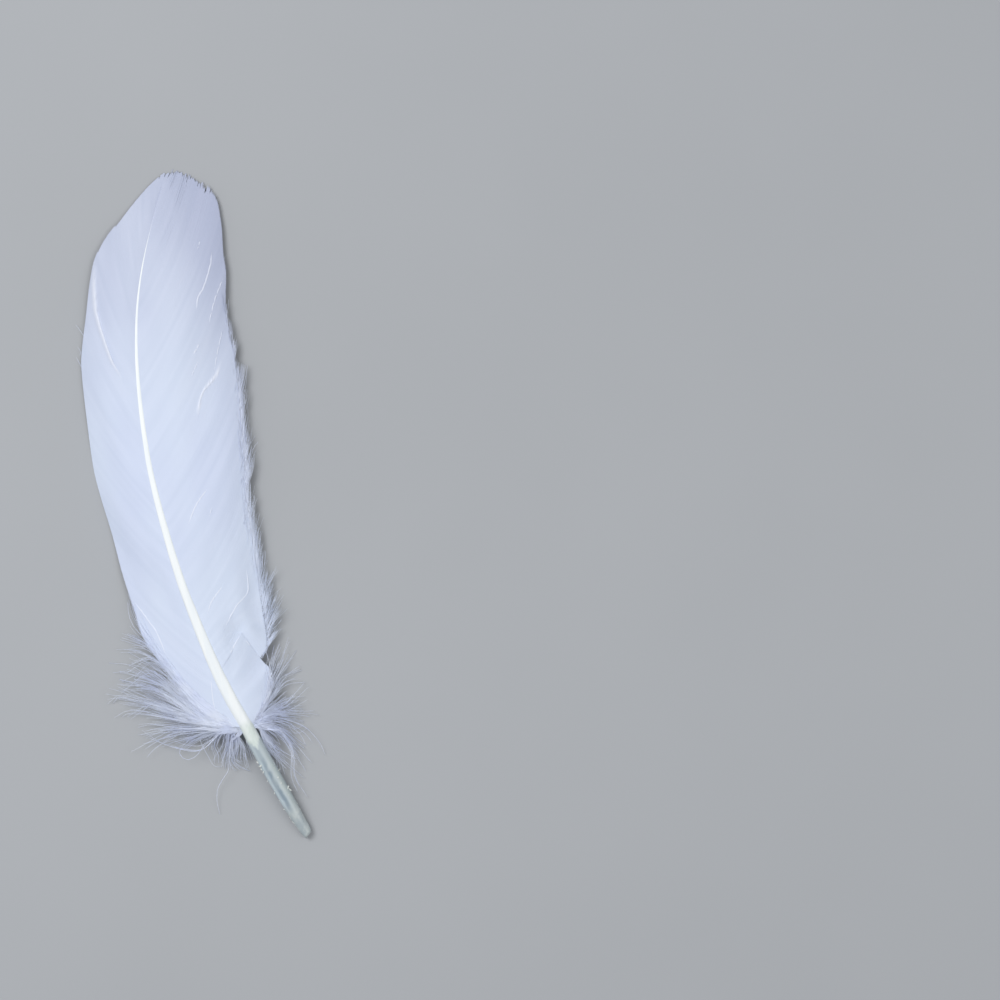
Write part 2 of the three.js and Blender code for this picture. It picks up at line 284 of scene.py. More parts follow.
RIGHT_VANE = {
    "side": 1,
    "foot": -43.5,
    "edge": through([
        [-42.3, 14.8], [-41.2, 15.9], [-40.3, 16.8], [-38, 17.7], [-34.8, 18.1], [-24.3, 18.4],
        [-15.7, 18.8], [-3, 19.2], [4, 19.9], [10, 20.8], [18, 21.6], [27.4, 22.6], [40.2, 23.6], [47, 23.3],
        [53, 23.8], [61.8, 25.6], [66.4, 25.8], [74, 26.7], [80.3, 26.9], [82, 26.6], [83.8, 25.7],
        [85.6, 24.4], [87.8, 21.9], [89.9, 19.2], [90.6, 17.4], [FEATHER_TIP, 15.2],
    ]),
    "height": through([
        [-50, 3.0], [-30, 2.5], [0, 2.7], [30, 2.6], [55, 2.1], [75, 1.4], [87, 0.7],
        [FEATHER_TIP, 0.2],
    ]),
    "reach": through([
        [-43.5, -42.3], [-42.5, -40.8], [-41, -38], [-38, -30], [-34, -19], [-30, -9], [-17, 11],
        [0, 34], [20, 60], [40, 83.5], [50, 87], [60, 89.3], [70, 90.2], [80, 90.8],
        [SHAFT_TIP, 91.0],
    ]),
    "splay": through([[-60, 9], [SHAFT_TIP, 9]]),
    "knee": through([[-60, 1], [SHAFT_TIP, 1]]),
    "ragged": through([
        [-43, 0.05], [-20, 0.08], [-5, 0.25], [48, 0.3], [58, 0.15], [80, 0.15], [83, 0.6], [85, 1.6],
        [FEATHER_TIP, 1.5],
    ]),
}

# The lowest barbs of the wide vane form a lobe of their own, below the split, that lies over the barbs
# above it. Where they end, from above, by the y of their roots.
LOBE_FOOT, LOBE_TOP = -58.5, -42.4
LOBE_X = through([
    [-58.5, 10.9], [-57.5, 13.6], [-56.5, 15.4], [-55.3, 16.5], [-54, 17.1], [-52.5, 17.1],
    [-51, 16.2], [-49.5, 15.1], [-48, 14.1], [-46, 12.9], [LOBE_TOP, 11.7],
])
LOBE_Y = through([
    [-58.5, -58.7], [-57.5, -56.2], [-56.5, -53.2], [-55.3, -50], [-54, -47], [-52.5, -44.4],
    [-51, -43.1], [-49.5, -41.2], [-48, -39.0], [-46, -36.4], [LOBE_TOP, -33.8],
])
LOBE_Z = through([
    [-58.5, 3.7], [-54, 3.0], [-51, 2.8], [-49.5, 3.0], [-48, 3.5], [-46, 4.3], [LOBE_TOP, 5.0],
])

# The barbs above settle this far under the lobe, from this share of their way on. The effect fades over
# this many millimetres beside it.
LOBE_DEPTH = 0.08
LOBE_SETTLED_BY = 0.2
LOBE_SETTLE = 3.5
LOBE_BESIDE = 0.3

# The barbs just above the split arch over and hang down to it: how much, by the y of their roots. An
# arch's knee lies this far up from the middle of the straight way, and pulls this much harder.
ARCH = through([[-43.5, 1], [-41, 0.8], [-38, 0.55], [-34, 0.28], [-30, 0.1], [-26, 0]])
ARCH_KNEE = np.array([3.1, 10.2, 0.0])
ARCH_PULL = 2.6

# Barbs near the shaft's tip no longer splay, and the last ones of the two vanes cross a little.
STRAIGHT_FROM = 66.0
CROSS_FROM, CROSS = 83.0, 0.35

# Each barb is worked out at these shares of its way. The last stretch is its blunt point.
BARB_STEPS = 26
BARB_POINT = 0.985
BARB_WAY = np.append(np.linspace(0, BARB_POINT, BARB_STEPS - 1), 1)
BARB_OVERLAP = 0.66
BARB_RIDGE = 0.05
BARB_UNDERSIDE = 0.045
LEFT_BARBS = 400
RIGHT_BARBS = 430
LOBE_BARBS = 90

# A barb is as wide as the way to its neighbours, within these limits, and thinner where they are close.
USUAL_SPACING = 0.33
BARB_SPACING = (0.04, 0.9)
FULL_DEPTH_SPACING = 0.3
LEAST_DEPTH = 0.3

# How far the four corners of a barb's section lie across the barb's row of the map.
SECTION_ON_MAP = np.array([0.1, 0.5, 0.9, 0.5])
BARB_SIDES = len(SECTION_ON_MAP)

# Which rows of a vane's map its groups of barbs take.
LOBE_ROWS, SLIPPED_ROWS, UPPER_ROWS = (0.0, 0.14), (0.145, 0.155), (0.16, 1.0)


def even_roots(vane, count):
    """The y of each barb's root, spread so that barbs are as close at the shaft as along the edge."""
    fine = np.linspace(vane["foot"], SHAFT_TIP - 0.3, 2000)
    reach = vane["reach"](fine)
    edge = np.stack([vane["edge"](reach), reach], axis=-1)
    steps = np.hypot(*np.diff(edge, axis=0).T) + np.diff(fine)
    way = np.concatenate([[0], np.cumsum(steps)])
    return np.interp((np.arange(count) + 0.5) / count * way[-1], way, fine)


def turned(flat, degrees):
    """Vectors turned about +Z, each by its own angle."""
    angle = np.radians(degrees)
    x, y = flat[..., 0], flat[..., 1]
    out = flat.copy()
    out[..., 0] = x * np.cos(angle) - y * np.sin(angle)
    out[..., 1] = x * np.sin(angle) + y * np.cos(angle)
    return out


def barb_paths(roots, ends, vane, arch=0.0, past=0.0):
    """Curved barbs from the shaft to their ends, which leave wide and bend towards the tip.

    past is how far each barb runs on beyond its end, or stops short of it where it is negative.
    """
    root = shaft_point(roots)
    root[:, 2] += ROOT_RISE * shaft_width(roots)
    half = (ends - root) / 2 * vane["knee"](roots)[:, None]
    splay = vane["splay"](roots) * (1 - smooth(STRAIGHT_FROM, SHAFT_TIP, roots))
    arch = np.broadcast_to(arch, roots.shape)[:, None, None]
    knee = (root + turned(half, -vane["side"] * splay))[:, None] + arch * ARCH_KNEE
    whole = 1 + past / np.linalg.norm(ends - root, axis=1)
    share = (BARB_WAY[None] * whole[:, None])[..., None]
    first, last = (1 - share) ** 2, share**2
    middle = 2 * share * (1 - share) * (1 + ARCH_PULL * arch)
    paths = (root[:, None] * first + knee * middle + ends[:, None] * last) / (first + middle + last)
    paths[..., 2] = lerp(root[:, None, 2], ends[:, None, 2], share[..., 0] ** DROOP_POWER)
    return paths


# Folds, as [points from above, height, half width]: broad raised lines, painted lighter along their tops.
# They run down the feather, and fall off more steeply on the right.
LEFT_FOLDS = [
    [[(-8.6, 71.5), (-9.7, 64.7), (-10.5, 58.1), (-10.1, 53.2), (-9.4, 48.5), (-8.6, 43.9),
      (-7.4, 40.5), (-6.3, 37.5)], 0.55, 0.85],
]
RIGHT_FOLDS = [
    [[(19.8, 38.4), (18.2, 35.0), (14.0, 31.5), (12.5, 29.0), (11.4, 24.7)], 0.12, 0.5],
]
FOLD_NARROWS = 0.5
FOLD_STEEP_SIDE = 0.5
FOLD_FADE = 0.25

# Single barbs that have slipped out of place and lie on the sheet, as [half width, points from above].
LEFT_SLIPPED = [
    [0.17, (-15.2, -20.4), (-14.0, -22.4), (-12.0, -26.5), (-10.7, -29.3), (-9.1, -36.9)],
    [0.12, (1.4, -44.6), (0.9, -49.9), (1.0, -53.8)],
]
RIGHT_SLIPPED = [
    [0.12, (20.3, 71.0), (19.2, 68.8)],
    [0.19, (22.9, 67.6), (21.6, 63.7), (18.9, 58.5), (17.0, 56.1), (15.6, 51.0)],
    [0.15, (24.6, 60.3), (21.5, 55.3), (19.5, 51.0), (18.4, 47.9)],
    [0.11, (21.8, 46.8), (19.1, 40.3), (17.4, 35.4)],
    [0.17, (15.1, 43.9), (12.7, 41.0)],
    [0.11, (14.0, 39.5), (11.3, 35.5)],
    [0.2, (17.6, 35.4), (16.7, 33.8), (13.6, 31.1), (12.1, 28.1), (11.1, 24.2)],
    [0.16, (10.1, 5.6), (6.4, 1.9), (3.3, -2.9)],
    [0.11, (10.6, 0.9), (9.0, -2.0)],
    [0.16, (9.2, -20.6), (5.5, -24.2), (3.9, -27.2)],
    [0.18, (16.0, -17.5), (15.8, -20.4), (15.1, -23.6), (11.9, -26.3), (9.8, -28.8), (6.9, -32.6)],
    [0.17, (11.6, -34.1), (9.3, -36.6), (6.2, -40.8)],
    [0.16, (12.1, -35.5), (13.6, -38.6), (14.6, -40.8), (15.6, -42.8)],
]
SLIPPED_STEPS = 30
SLIPPED_FLATNESS = 0.25
SLIPPED_LIFT = 0.045
# How much lighter the slipped barbs are painted than the sheet: a painted highlight along each one.
SLIPPED_HIGHLIGHT = 0.7
SLIPPED_TIP = 0.1
SLIPPED_TAPERS = (0.15, 0.3)


def slipped_barbs(sheet, lines):
    """Flat barbs that lie on a vane's sheet, tapered to both ends: their parts, map and values."""
    t = np.linspace(0, 1, SLIPPED_STEPS)
    flat = [np.array([(x, y, 0.0) for x, y in points]) for _, *points in lines]
    paths = np.stack([curve_through(points)(t) for points in flat])
    paths[..., 2] = sheet_under(sheet, paths)[0] + SLIPPED_LIFT
    taper = lerp(SLIPPED_TIP, 1, smooth(0, SLIPPED_TAPERS[0], t) * smooth(0, SLIPPED_TAPERS[1], 1 - t))
    half = np.array([line[0] for line in lines])[:, None] * taper[None]
    parts = tubes(paths, *frames_along(paths), half, half * SLIPPED_FLATNESS, ring_of(BARB_SIDES))
    count = len(parts[0])
    uv = strip_uv(len(lines), SLIPPED_STEPS, *SLIPPED_ROWS)
    # Slipped barbs get the full barb tone and a painted highlight.
    return parts, uv, {"barb_tone": np.ones(count), "crest": np.full(count, SLIPPED_HIGHLIGHT)}


def fold_height(points, folds):
    """How much the folds raise each point, in millimetres, and its painted highlight, 1 on a fold's top."""
    flat = points[..., :2]
    raised = np.zeros(flat.shape[:-1])
    crest = np.zeros(flat.shape[:-1])
    for line, height, half_width in folds:
        line = np.array(line, float)
        lengths = np.hypot(*np.diff(line, axis=0).T)
        before = np.concatenate([[0], np.cumsum(lengths)])
        nearest = np.full(raised.shape, np.inf)
        along = np.zeros(raised.shape)
        right = np.zeros(raised.shape, bool)
        for i, length in enumerate(lengths):
            way = (line[i + 1] - line[i]) / length
            offset = flat - line[i]
            t = np.clip(offset @ way, 0, length)
            gap = np.linalg.norm(offset - t[..., None] * way, axis=-1)
            closer = gap < nearest
            along = np.where(closer, before[i] + t, along)
            right = np.where(closer, offset @ [-way[1], way[0]] > 0, right)
            nearest = np.minimum(nearest, gap)
        share = along / before[-1]
        fade = smooth(0, FOLD_FADE, share) * smooth(0, FOLD_FADE, 1 - share)
        width = half_width * lerp(1, FOLD_NARROWS, share) * np.where(right, FOLD_STEEP_SIDE, 1)
        bump = np.exp(-((nearest / width) ** 2)) * fade
        raised = np.maximum(raised, height * bump)
        # Painted highlight: how near each point is to a fold's top, which the vane's material paints
        # lighter.
        crest = np.maximum(crest, bump)
    return raised, crest


def flat_spacing(paths):
    """How far each point of a barb lies from the next barb, seen from above."""
    ahead = unit(np.gradient(paths, axis=1) * [1, 1, 0])
    onward = np.gradient(paths, axis=0) * [1, 1, 0]
    return np.linalg.norm(onward - (onward * ahead).sum(-1, keepdims=True) * ahead, axis=-1)


# A vane rises and falls in wide waves, in clumps of a few barbs and from barb to barb. It lies still near
# the shaft: over the first part of each barb's way, and close to the shaft's line.
VANE_SWELL, LOBE_SWELL = 0.3, 0.1
CLUMP_SWELL, BARB_SWELL = 0.05, 0.016
WIDE_WAVES = 9
BARBS_TO_A_CLUMP = 9
STILL_SHARE, STILL_ASIDE = (0.02, 0.35), (0.2, 3.5)


def relief(rng, paths, folds, swell):
    """Lifts barbs into soft waves, faint streaks and folds. Returns the painted highlight on the folds'
    tops.
    """
    count, steps = paths.shape[:2]
    share = BARB_WAY[None]
    aside = np.abs(paths[..., 0] - middle_x(paths[..., 1]))
    free = smooth(*STILL_SHARE, share) * smooth(*STILL_ASIDE, aside)
    room = np.clip(flat_spacing(paths) / USUAL_SPACING, 0.1, 1.1)
    waves = swell * wander(rng, count, steps, WIDE_WAVES, 3)
    clumps = CLUMP_SWELL * wander(rng, count, steps, count // BARBS_TO_A_CLUMP, 4)
    single = BARB_SWELL * wander(rng, count, steps, count, 3)
    raised, crest = fold_height(paths, folds)
    paths[..., 2] += free * (waves + (clumps + single) * room) + raised
    return crest


def barb_parts(paths, taper, flip):
    """Vertices and faces of flat, ridged barbs, each as wide as the way to its neighbours."""
    ahead = unit(np.gradient(paths, axis=1))
    onward = np.gradient(paths, axis=0)
    above = unit(np.cross(ahead, onward) * (-flip))
    above = unit(above * np.sign(above[..., 2:3] + 1e-9))
    across = unit(np.cross(ahead, above))
    spacing = np.clip(np.abs((onward * across).sum(-1)), *BARB_SPACING)
    half_width = spacing * BARB_OVERLAP * taper
    half_depth = np.clip(spacing / FULL_DEPTH_SPACING, LEAST_DEPTH, 1) * np.minimum(taper * 1.6, 1)
    ring = np.array([[-1, 0], [0, -BARB_UNDERSIDE], [1, 0], [0, BARB_RIDGE]])
    return tubes(paths, across, above, half_width, half_depth, ring)


# Free barb ends past the wide vane's edge: their length and their lean from +Y in degrees, by the y of
# the edge they start from.
FREE_FROM, FREE_TO = -41.5, 66.0
FREE_LENGTH = through([
    [-42, 7.0], [-32, 9.0], [-20, 8.0], [-10, 7.5], [0, 7.0], [7, 9.0], [12, 8.0], [20, 8.5], [27, 7.5],
    [35, 5.0], [45, 3.4], [55, 2.2], [62, 1.2], [70, 0.8],
])
FREE_LEAN = through([
    [-42, 44], [-35, 36], [-28, 28], [-20, 17], [-5, 9], [1, 9], [6, 19], [10, 21], [15, 12], [25, 15],
    [35, 14], [42, 11], [50, 5], [62, 3], [70, 2],
])
FREE_FAN = through([[-42, 12], [-28, 11], [-18, 4], [20, 3], [70, 3]])
FREE_CROWDING = through([[-42, 0.7], [-30, 1.0], [5, 1.1], [25, 1.0], [35, 0.7], [46, 0.35], [66, 0.1]])
# Painted light on the free ends, by y: they are painted lighter to offset the shade that the thin hairs cast
# on each other.
FREE_PAINTED_LIGHT = through([[-42, 0.15], [-25, 0.25], [-12, 0.5], [20, 0.5], [45, 0.3], [70, 0]])
FREE_ENDS = 1600
FREE_STEPS = 14
FREE_INSIDE = through([[-42, 0.8], [-25, 1.4], [-12, 3.0], [15, 3.2], [35, 2.4], [66, 1.0]])
FREE_SPREAD = (0.2, 1.4)
FREE_START_LEAN = 27.0
FREE_RADIUS = 0.065
FREE_STRAYS, FREE_STRAY_LEAN = 0.015, 28.0
FREE_CLUMPING = 0.22
FREE_GATHERED = 0.3
FREE_WOBBLE = 5.0

# What part of the full length they have: as a rule, and how much that differs by clump and by hair.
FREE_USUAL_PART, FREE_CLUMP_PART, FREE_SINGLE_PART = 0.6, 0.22, 0.18
FREE_PARTS = (0.05, 1.1)

# This share of them lies over the edge, and the others come out from under it, at these heights. A point
# further than this from the sheet's own points lies beside it.
FREE_OVER = 0.12
ON_SHEET, UNDER_SHEET = 0.05, -0.06
BESIDE_SHEET = 0.4


def gathered(paths, clump, share, pull):
    """Hairs drawn together within each clump, more so towards their tips."""
    total = np.zeros((clump.max() + 1,) + paths.shape[1:])
    np.add.at(total, clump, paths)
    middle = total / np.bincount(clump)[:, None, None]
    return lerp(paths, middle[clump], (pull * share)[None, :, None])


def free_starts(rng):
    """The y at which each free end leaves the edge, in order, closer together where they crowd."""
    fine = np.linspace(FREE_FROM, FREE_TO, 500)
    crowd = np.cumsum(FREE_CROWDING(fine))
    return np.interp(np.sort(rng.uniform(crowd[0], crowd[-1], FREE_ENDS)), crowd, fine)


def free_paths(y, inside, length, lean):
    """Flat hairs that start inside the edge and turn with their lean, in radians from +Y."""
    step = (length / (FREE_STEPS - 1))[:, None]
    start_lean = math.radians(FREE_START_LEAN)
    paths = np.zeros((FREE_ENDS, FREE_STEPS, 3))
    paths[..., 0] = (RIGHT_VANE["edge"](y) - inside * math.sin(start_lean))[:, None]
    paths[..., 1] = (y - inside * math.cos(start_lean))[:, None]
    paths[..., 0] += np.cumsum(np.sin(lean) * step, axis=1)
    paths[..., 1] += np.cumsum(np.cos(lean) * step, axis=1)
    return paths


def fringe(sheet):
    """Free barb ends that leave the wide edge in loose clumps and run up along it."""
    rng = np.random.default_rng(29)
    y = free_starts(rng)
    clump = np.cumsum(rng.random(FREE_ENDS) < FREE_CLUMPING)
    of_clump = rng.normal(0, 1, (clump.max() + 1, 4))[clump]
    single = rng.normal(0, 1, (FREE_ENDS, 3))
    stray = rng.random(FREE_ENDS) < FREE_STRAYS
    first_lean = FREE_START_LEAN + FREE_WOBBLE * single[:, 0]
    last_lean = FREE_LEAN(y) + FREE_FAN(y) * of_clump[:, 0] + FREE_WOBBLE * single[:, 1]
    last_lean += FREE_STRAY_LEAN * stray
    inside = FREE_INSIDE(y) * rng.uniform(*FREE_SPREAD, FREE_ENDS)
    part = FREE_USUAL_PART + FREE_CLUMP_PART * of_clump[:, 1] + FREE_SINGLE_PART * single[:, 2]
    length = inside + FREE_LENGTH(y) * np.clip(part, *FREE_PARTS)
    share = np.linspace(0, 1, FREE_STEPS)
    lean = lerp(first_lean[:, None], last_lean[:, None], smooth(0, 0.5, share)[None])
    lean = np.radians(lean + FREE_WOBBLE * of_clump[:, 3:] * np.sin(share * 5)[None])
    paths = gathered(free_paths(y, inside, length, lean), clump, share, FREE_GATHERED)
    height, gap = sheet_under(sheet, paths)
    loose = np.maximum(gap - BESIDE_SHEET, 0)
    over = (rng.random(FREE_ENDS) < FREE_OVER)[:, None]
    on_top = ON_SHEET * (1 + 0.6 * np.abs(single[:, :1]))
    lift = np.where(over, on_top, UNDER_SHEET * (gap < BESIDE_SHEET))
    paths[..., 2] = np.maximum(height + lift + (0.2 * of_clump[:, 2:3] - 0.1) * loose, DOWN_LOWEST)
    vertices, faces = strand_tubes(rng, paths, FREE_RADIUS)
    # Each hair's painted light, to offset the shade of its neighbours.
    painted_light = np.repeat(FREE_PAINTED_LIGHT(y) * rng.uniform(0.7, 1.0, FREE_ENDS), len(vertices) // FREE_ENDS)
    values = {"barb_tone": np.ones(len(vertices)), "crest": painted_light}
    return make_mesh("fringe", vertices, faces, map_from_above(vertices), True, values)


# How far barbs stop short of a ragged outline or run on past it, and two nicks in the left edge, as
# [y of the edge, depth].
TOOTH_DEPTH = 0.9
LEFT_NICKS = [[73.8, 0.35], [79.8, 0.5]]
NICK_LENGTH = 2.5

# The left vane's lowest barbs part a little: how loose they are, from 0 to 1, by the y of their roots.
LOOSE_LEFT = through([[-58.8, 1], [-54, 0.8], [-48, 0], [SHAFT_TIP, 0]])
LOOSE_PARTING = 0.6
LOOSE_FROM, LOOSE_BY = 0.3, 0.8
LOOSE_CLUMPING = 0.3

BARB_END_WIDTH = 0.12
BARBS_TO_A_TONE = 5


def tooth_lengths(rng, edge_y, ragged):
    """How far each barb runs past the outline, negative where it stops short."""
    count = len(edge_y)
    clump = np.cumsum(rng.random(count) < 0.2)
    first = np.concatenate([[True], np.diff(clump) > 0])
    depth = rng.uniform(-0.5, 0.4, clump.max() + 1)[clump] - 0.8 * first + rng.normal(0, 0.12, count)
    return TOOTH_DEPTH * depth * ragged(edge_y)


def vane_ends(vane, roots, rng):
    """Where barbs end on the vane's outline, and how far each one runs past it."""
    reach = vane["reach"](roots)
    ends = np.stack([vane["edge"](reach), reach, vane["height"](reach)], axis=-1)
    ends[:, 0] -= vane["side"] * CROSS * smooth(CROSS_FROM, SHAFT_TIP, roots)
    return ends, tooth_lengths(rng, reach, vane["ragged"])


def strip_uv(count, steps, low, high):
    """A map with the way along each barb across it, and one row for each barb."""
    row = lerp(low, high, (np.arange(count)[:, None, None] + SECTION_ON_MAP) / count)
    column = np.linspace(MAP_MARGIN, 1 - MAP_MARGIN, steps)[None, :, None]
    shape = (count, steps, BARB_SIDES)
    return np.stack([np.broadcast_to(column, shape), np.broadcast_to(row, shape)], -1).reshape(-1, 2)


def vane_values(rng, paths, crest):
    """What the vane's material reads at each vertex: a tone for each barb, and the painted highlight on the
    folds' tops.
    """
    count, steps = paths.shape[:2]
    tone = 0.5 + 0.5 * wander(rng, count, steps, count // BARBS_TO_A_TONE, 2)
    spread = (count, steps, BARB_SIDES)
    return {
        "barb_tone": np.broadcast_to(tone[..., None], spread).ravel(),
        "crest": np.broadcast_to(crest[..., None], spread).ravel(),
    }


def barb_widths(rng, loose):
    """Each barb's share of its full width: down to a blunt point, and thinner where loose barbs part."""
    clump = np.cumsum(rng.random(len(loose)) < LOOSE_CLUMPING)
    apart = loose * rng.random(clump.max() + 1)[clump]
    parted = apart[:, None] * smooth(LOOSE_FROM, LOOSE_BY, BARB_WAY)[None]
    return (1 - LOOSE_PARTING * parted) * np.where(BARB_WAY < 1, 1, BARB_END_WIDTH)[None]


def left_vane():
    """The narrow vane, and the centre lines of its barbs."""
    rng = np.random.default_rng(11)
    roots = even_roots(LEFT_VANE, LEFT_BARBS)
    ends, past = vane_ends(LEFT_VANE, roots, rng)
    for y, depth in LEFT_NICKS:
        above = np.maximum(ends[:, 1] - y, 0)
        past -= depth * np.exp(-above / NICK_LENGTH) * (ends[:, 1] > y)
    paths = barb_paths(roots, ends, LEFT_VANE, past=past)
    crest = relief(rng, paths, LEFT_FOLDS, VANE_SWELL)
    sheet = paths.reshape(-1, 3)
    barbs = (
        barb_parts(paths, barb_widths(rng, LOOSE_LEFT(roots)), -1),
        strip_uv(LEFT_BARBS, BARB_STEPS, *UPPER_ROWS),
        vane_values(rng, paths, crest),
    )
    return vane_piece("vane_left", barbs, slipped_barbs(sheet, LEFT_SLIPPED)), sheet


def lobe_barbs(rng):
    """The lobe's barbs, and their centre lines."""
    roots = np.linspace(LOBE_FOOT, LOBE_TOP, LOBE_BARBS)
    ends = np.stack([LOBE_X(roots), LOBE_Y(roots), LOBE_Z(roots)], axis=-1)
    paths = barb_paths(roots, ends, RIGHT_VANE)
    crest = relief(rng, paths, [], LOBE_SWELL)
    parts = barb_parts(paths, barb_widths(rng, np.zeros(LOBE_BARBS)), 1)
    uv = strip_uv(LOBE_BARBS, BARB_STEPS, *LOBE_ROWS)
    return (parts, uv, vane_values(rng, paths, crest)), paths.reshape(-1, 3)


def upper_barbs(rng, lobe_sheet):
    """The barbs above the split, which settle flush under the lobe, and their centre lines."""
    roots = even_roots(RIGHT_VANE, RIGHT_BARBS)
    ends, past = vane_ends(RIGHT_VANE, roots, rng)
    paths = barb_paths(roots, ends, RIGHT_VANE, ARCH(roots), past)
    crest = relief(rng, paths, RIGHT_FOLDS, VANE_SWELL)
    height, gap = sheet_under(lobe_sheet, paths)
    near = np.exp(-((np.maximum(gap - LOBE_BESIDE, 0) / LOBE_SETTLE) ** 2))
    settled = near * smooth(0.0, LOBE_SETTLED_BY, BARB_WAY)[None]
    paths[..., 2] = lerp(paths[..., 2], height - LOBE_DEPTH, settled)
    parts = barb_parts(paths, barb_widths(rng, np.zeros(RIGHT_BARBS)), 1)
    uv = strip_uv(RIGHT_BARBS, BARB_STEPS, *UPPER_ROWS)
    return (parts, uv, vane_values(rng, paths, crest)), paths.reshape(-1, 3)


def right_vane():
    """The wide vane with its lobe, and the centre lines of its barbs."""
    rng = np.random.default_rng(23)
    lobe, lobe_sheet = lobe_barbs(rng)
    upper, upper_sheet = upper_barbs(rng, lobe_sheet)
    sheet = np.concatenate([upper_sheet, lobe_sheet])
    return vane_piece("vane_right", upper, lobe, slipped_barbs(sheet, RIGHT_SLIPPED)), sheet


def vane_piece(name, *groups):
    """One mesh from groups of barbs, each as (parts, map, values)."""
    parts, maps, values = zip(*groups)
    together = {key: np.concatenate([group[key] for group in values]) for key in values[0]}
    return make_mesh(name, *joined(*parts), np.concatenate(maps), False, together)


# --- Down ---------------------------------------------------------------------------------------------

# The free parts of the tufts' main strands, as [strands in the bundle, points from above]. The rest of
# each strand runs back towards the foot of the vane.
LEFT_STRANDS = [
    [3, (-12.2, -33.4), (-15.2, -29.1), (-16.5, -26.5), (-17.3, -23.2), (-17.1, -20.1)],
    [3, (-12.2, -33.8), (-13.9, -30.3), (-15.3, -26.7), (-16.5, -23.4), (-16.6, -19.4)],
    [3, (-12.4, -31.3), (-14.3, -26.9), (-15.6, -23.0), (-16.2, -19.5), (-16.4, -17.9)],
    [6, (-11.5, -34.9), (-14.8, -31.3), (-19.9, -28.0)],
    [6, (-12.1, -35.4), (-14.2, -32.9), (-17.8, -30.5), (-20.3, -29.2)],
    [7, (-10.9, -38.1), (-13.2, -35.9), (-16.0, -33.8), (-19.2, -32.7), (-22.5, -32.0)],
    [5, (-11.2, -36.3), (-14.5, -33.4), (-16.7, -32.5), (-19.0, -32.5)],
    [5, (-9.9, -41.7), (-12.0, -39.6), (-15.7, -36.3), (-19.4, -33.3)],
    [5, (-11.1, -39.1), (-13.5, -36.4), (-15.8, -36.5), (-20.7, -38.6)],
    [4, (-11.0, -38.8), (-13.5, -36.4), (-16.4, -36.3), (-19.1, -36.7)],
    [6, (-11.8, -43.1), (-14.9, -40.8), (-19.6, -36.8), (-25.0, -35.2)],
    [6, (-12.0, -43.8), (-16.0, -41.3), (-20.9, -39.0), (-22.7, -38.1)],
    [6, (-11.5, -45.9), (-15.4, -43.6), (-20.2, -41.2), (-23.2, -40.0)],
    [5, (-12.4, -45.8), (-17.6, -42.6), (-21.5, -41.8), (-23.8, -41.2)],
    [5, (-11.7, -42.4), (-14.7, -39.9), (-18.8, -41.3), (-23.3, -43.7)],
    [5, (-11.7, -46.6), (-15.5, -44.0), (-21.1, -43.2), (-24.0, -42.6)],
    [6, (-13.0, -49.1), (-20.1, -45.5), (-24.3, -44.0), (-27.4, -43.2)],
    [4, (-17.1, -47.1), (-22.5, -44.5), (-24.3, -44.0), (-27.6, -45.7)],
    [6, (-13.1, -49.8), (-17.3, -47.9), (-21.9, -45.7), (-24.3, -44.9)],
    [6, (-8.2, -51.4), (-12.9, -48.4), (-17.5, -45.5), (-20.8, -43.6)],
    [6, (-7.1, -54.4), (-11.9, -52.4), (-18.9, -49.4), (-22.8, -48.6), (-26.4, -49.8)],
    [6, (-12.9, -48.8), (-15.3, -47.6), (-19.6, -49.1), (-22.9, -50.2)],
    [6, (-0.4, -56.4), (-4.7, -55.2), (-13.6, -51.0), (-17.3, -49.6), (-21.5, -48.9)],
    [9, (-4.0, -56.6), (-10.5, -55.0), (-15.5, -54.0), (-20.6, -53.5)],
    [9, (-4.0, -57.3), (-10.0, -56.6), (-15.0, -56.0), (-21.0, -55.6)],
    [6, (1.7, -57.1), (-4.9, -56.2), (-10.2, -55.9), (-17.0, -57.3), (-23.6, -59.8)],
    [4, (1.3, -59.0), (-4.7, -62.4), (-9.9, -61.4), (-17.0, -57.3), (-19.9, -54.7)],
    [9, (0.4, -57.9), (-7.6, -58.9), (-11.8, -59.2), (-15.2, -59.9)],
    [8, (0.6, -58.4), (-6.4, -59.6), (-9.5, -60.4), (-11.8, -61.2)],
    [6, (0.8, -58.5), (-3.2, -60.3), (-5.0, -62.4)],
    [10, (1.0, -58.5), (-1.9, -62.0), (-1.8, -64.7), (-2.4, -66.9)],
    [12, (3.3, -59.4), (2.1, -63.2), (0.6, -66.3), (-0.2, -68.6)],
    [11, (4.5, -59.2), (3.6, -62.4), (1.4, -65.8), (0.1, -68.9)],
    [9, (5.4, -60.2), (4.7, -63.7), (3.2, -66.8), (4.0, -68.5), (6.7, -70.9)],
    [9, (5.7, -60.8), (6.5, -64.0), (6.3, -67.4), (6.8, -70.5)],
    [4, (3.6, -61.3), (2.5, -66.7), (3.8, -68.7), (6.3, -70.6)],
    [3, (7.5, -61.1), (7.5, -65.6), (7.5, -67.9)],
    [1, (1.5, -58.1), (-4.4, -59.5), (-4.4, -62.0), (-3.7, -64.3), (-2.3, -67.5), (-0.6, -67.8)],
    [1, (4.1, -60.0), (2.8, -63.3), (1.9, -66.6), (1.2, -69.3), (-1.1, -71.6), (-2.7, -73.6),
     (-3.4, -76.3), (-3.4, -80.4)],
    [1, (3.3, -58.3), (-1.2, -60.3), (-4.4, -62.0), (-6.6, -63.8), (-9.2, -64.4), (-10.7, -63.3),
     (-11.0, -62.1), (-10.5, -61.0), (-7.8, -59.5), (-4.3, -59.1), (0.3, -58.8)],
]
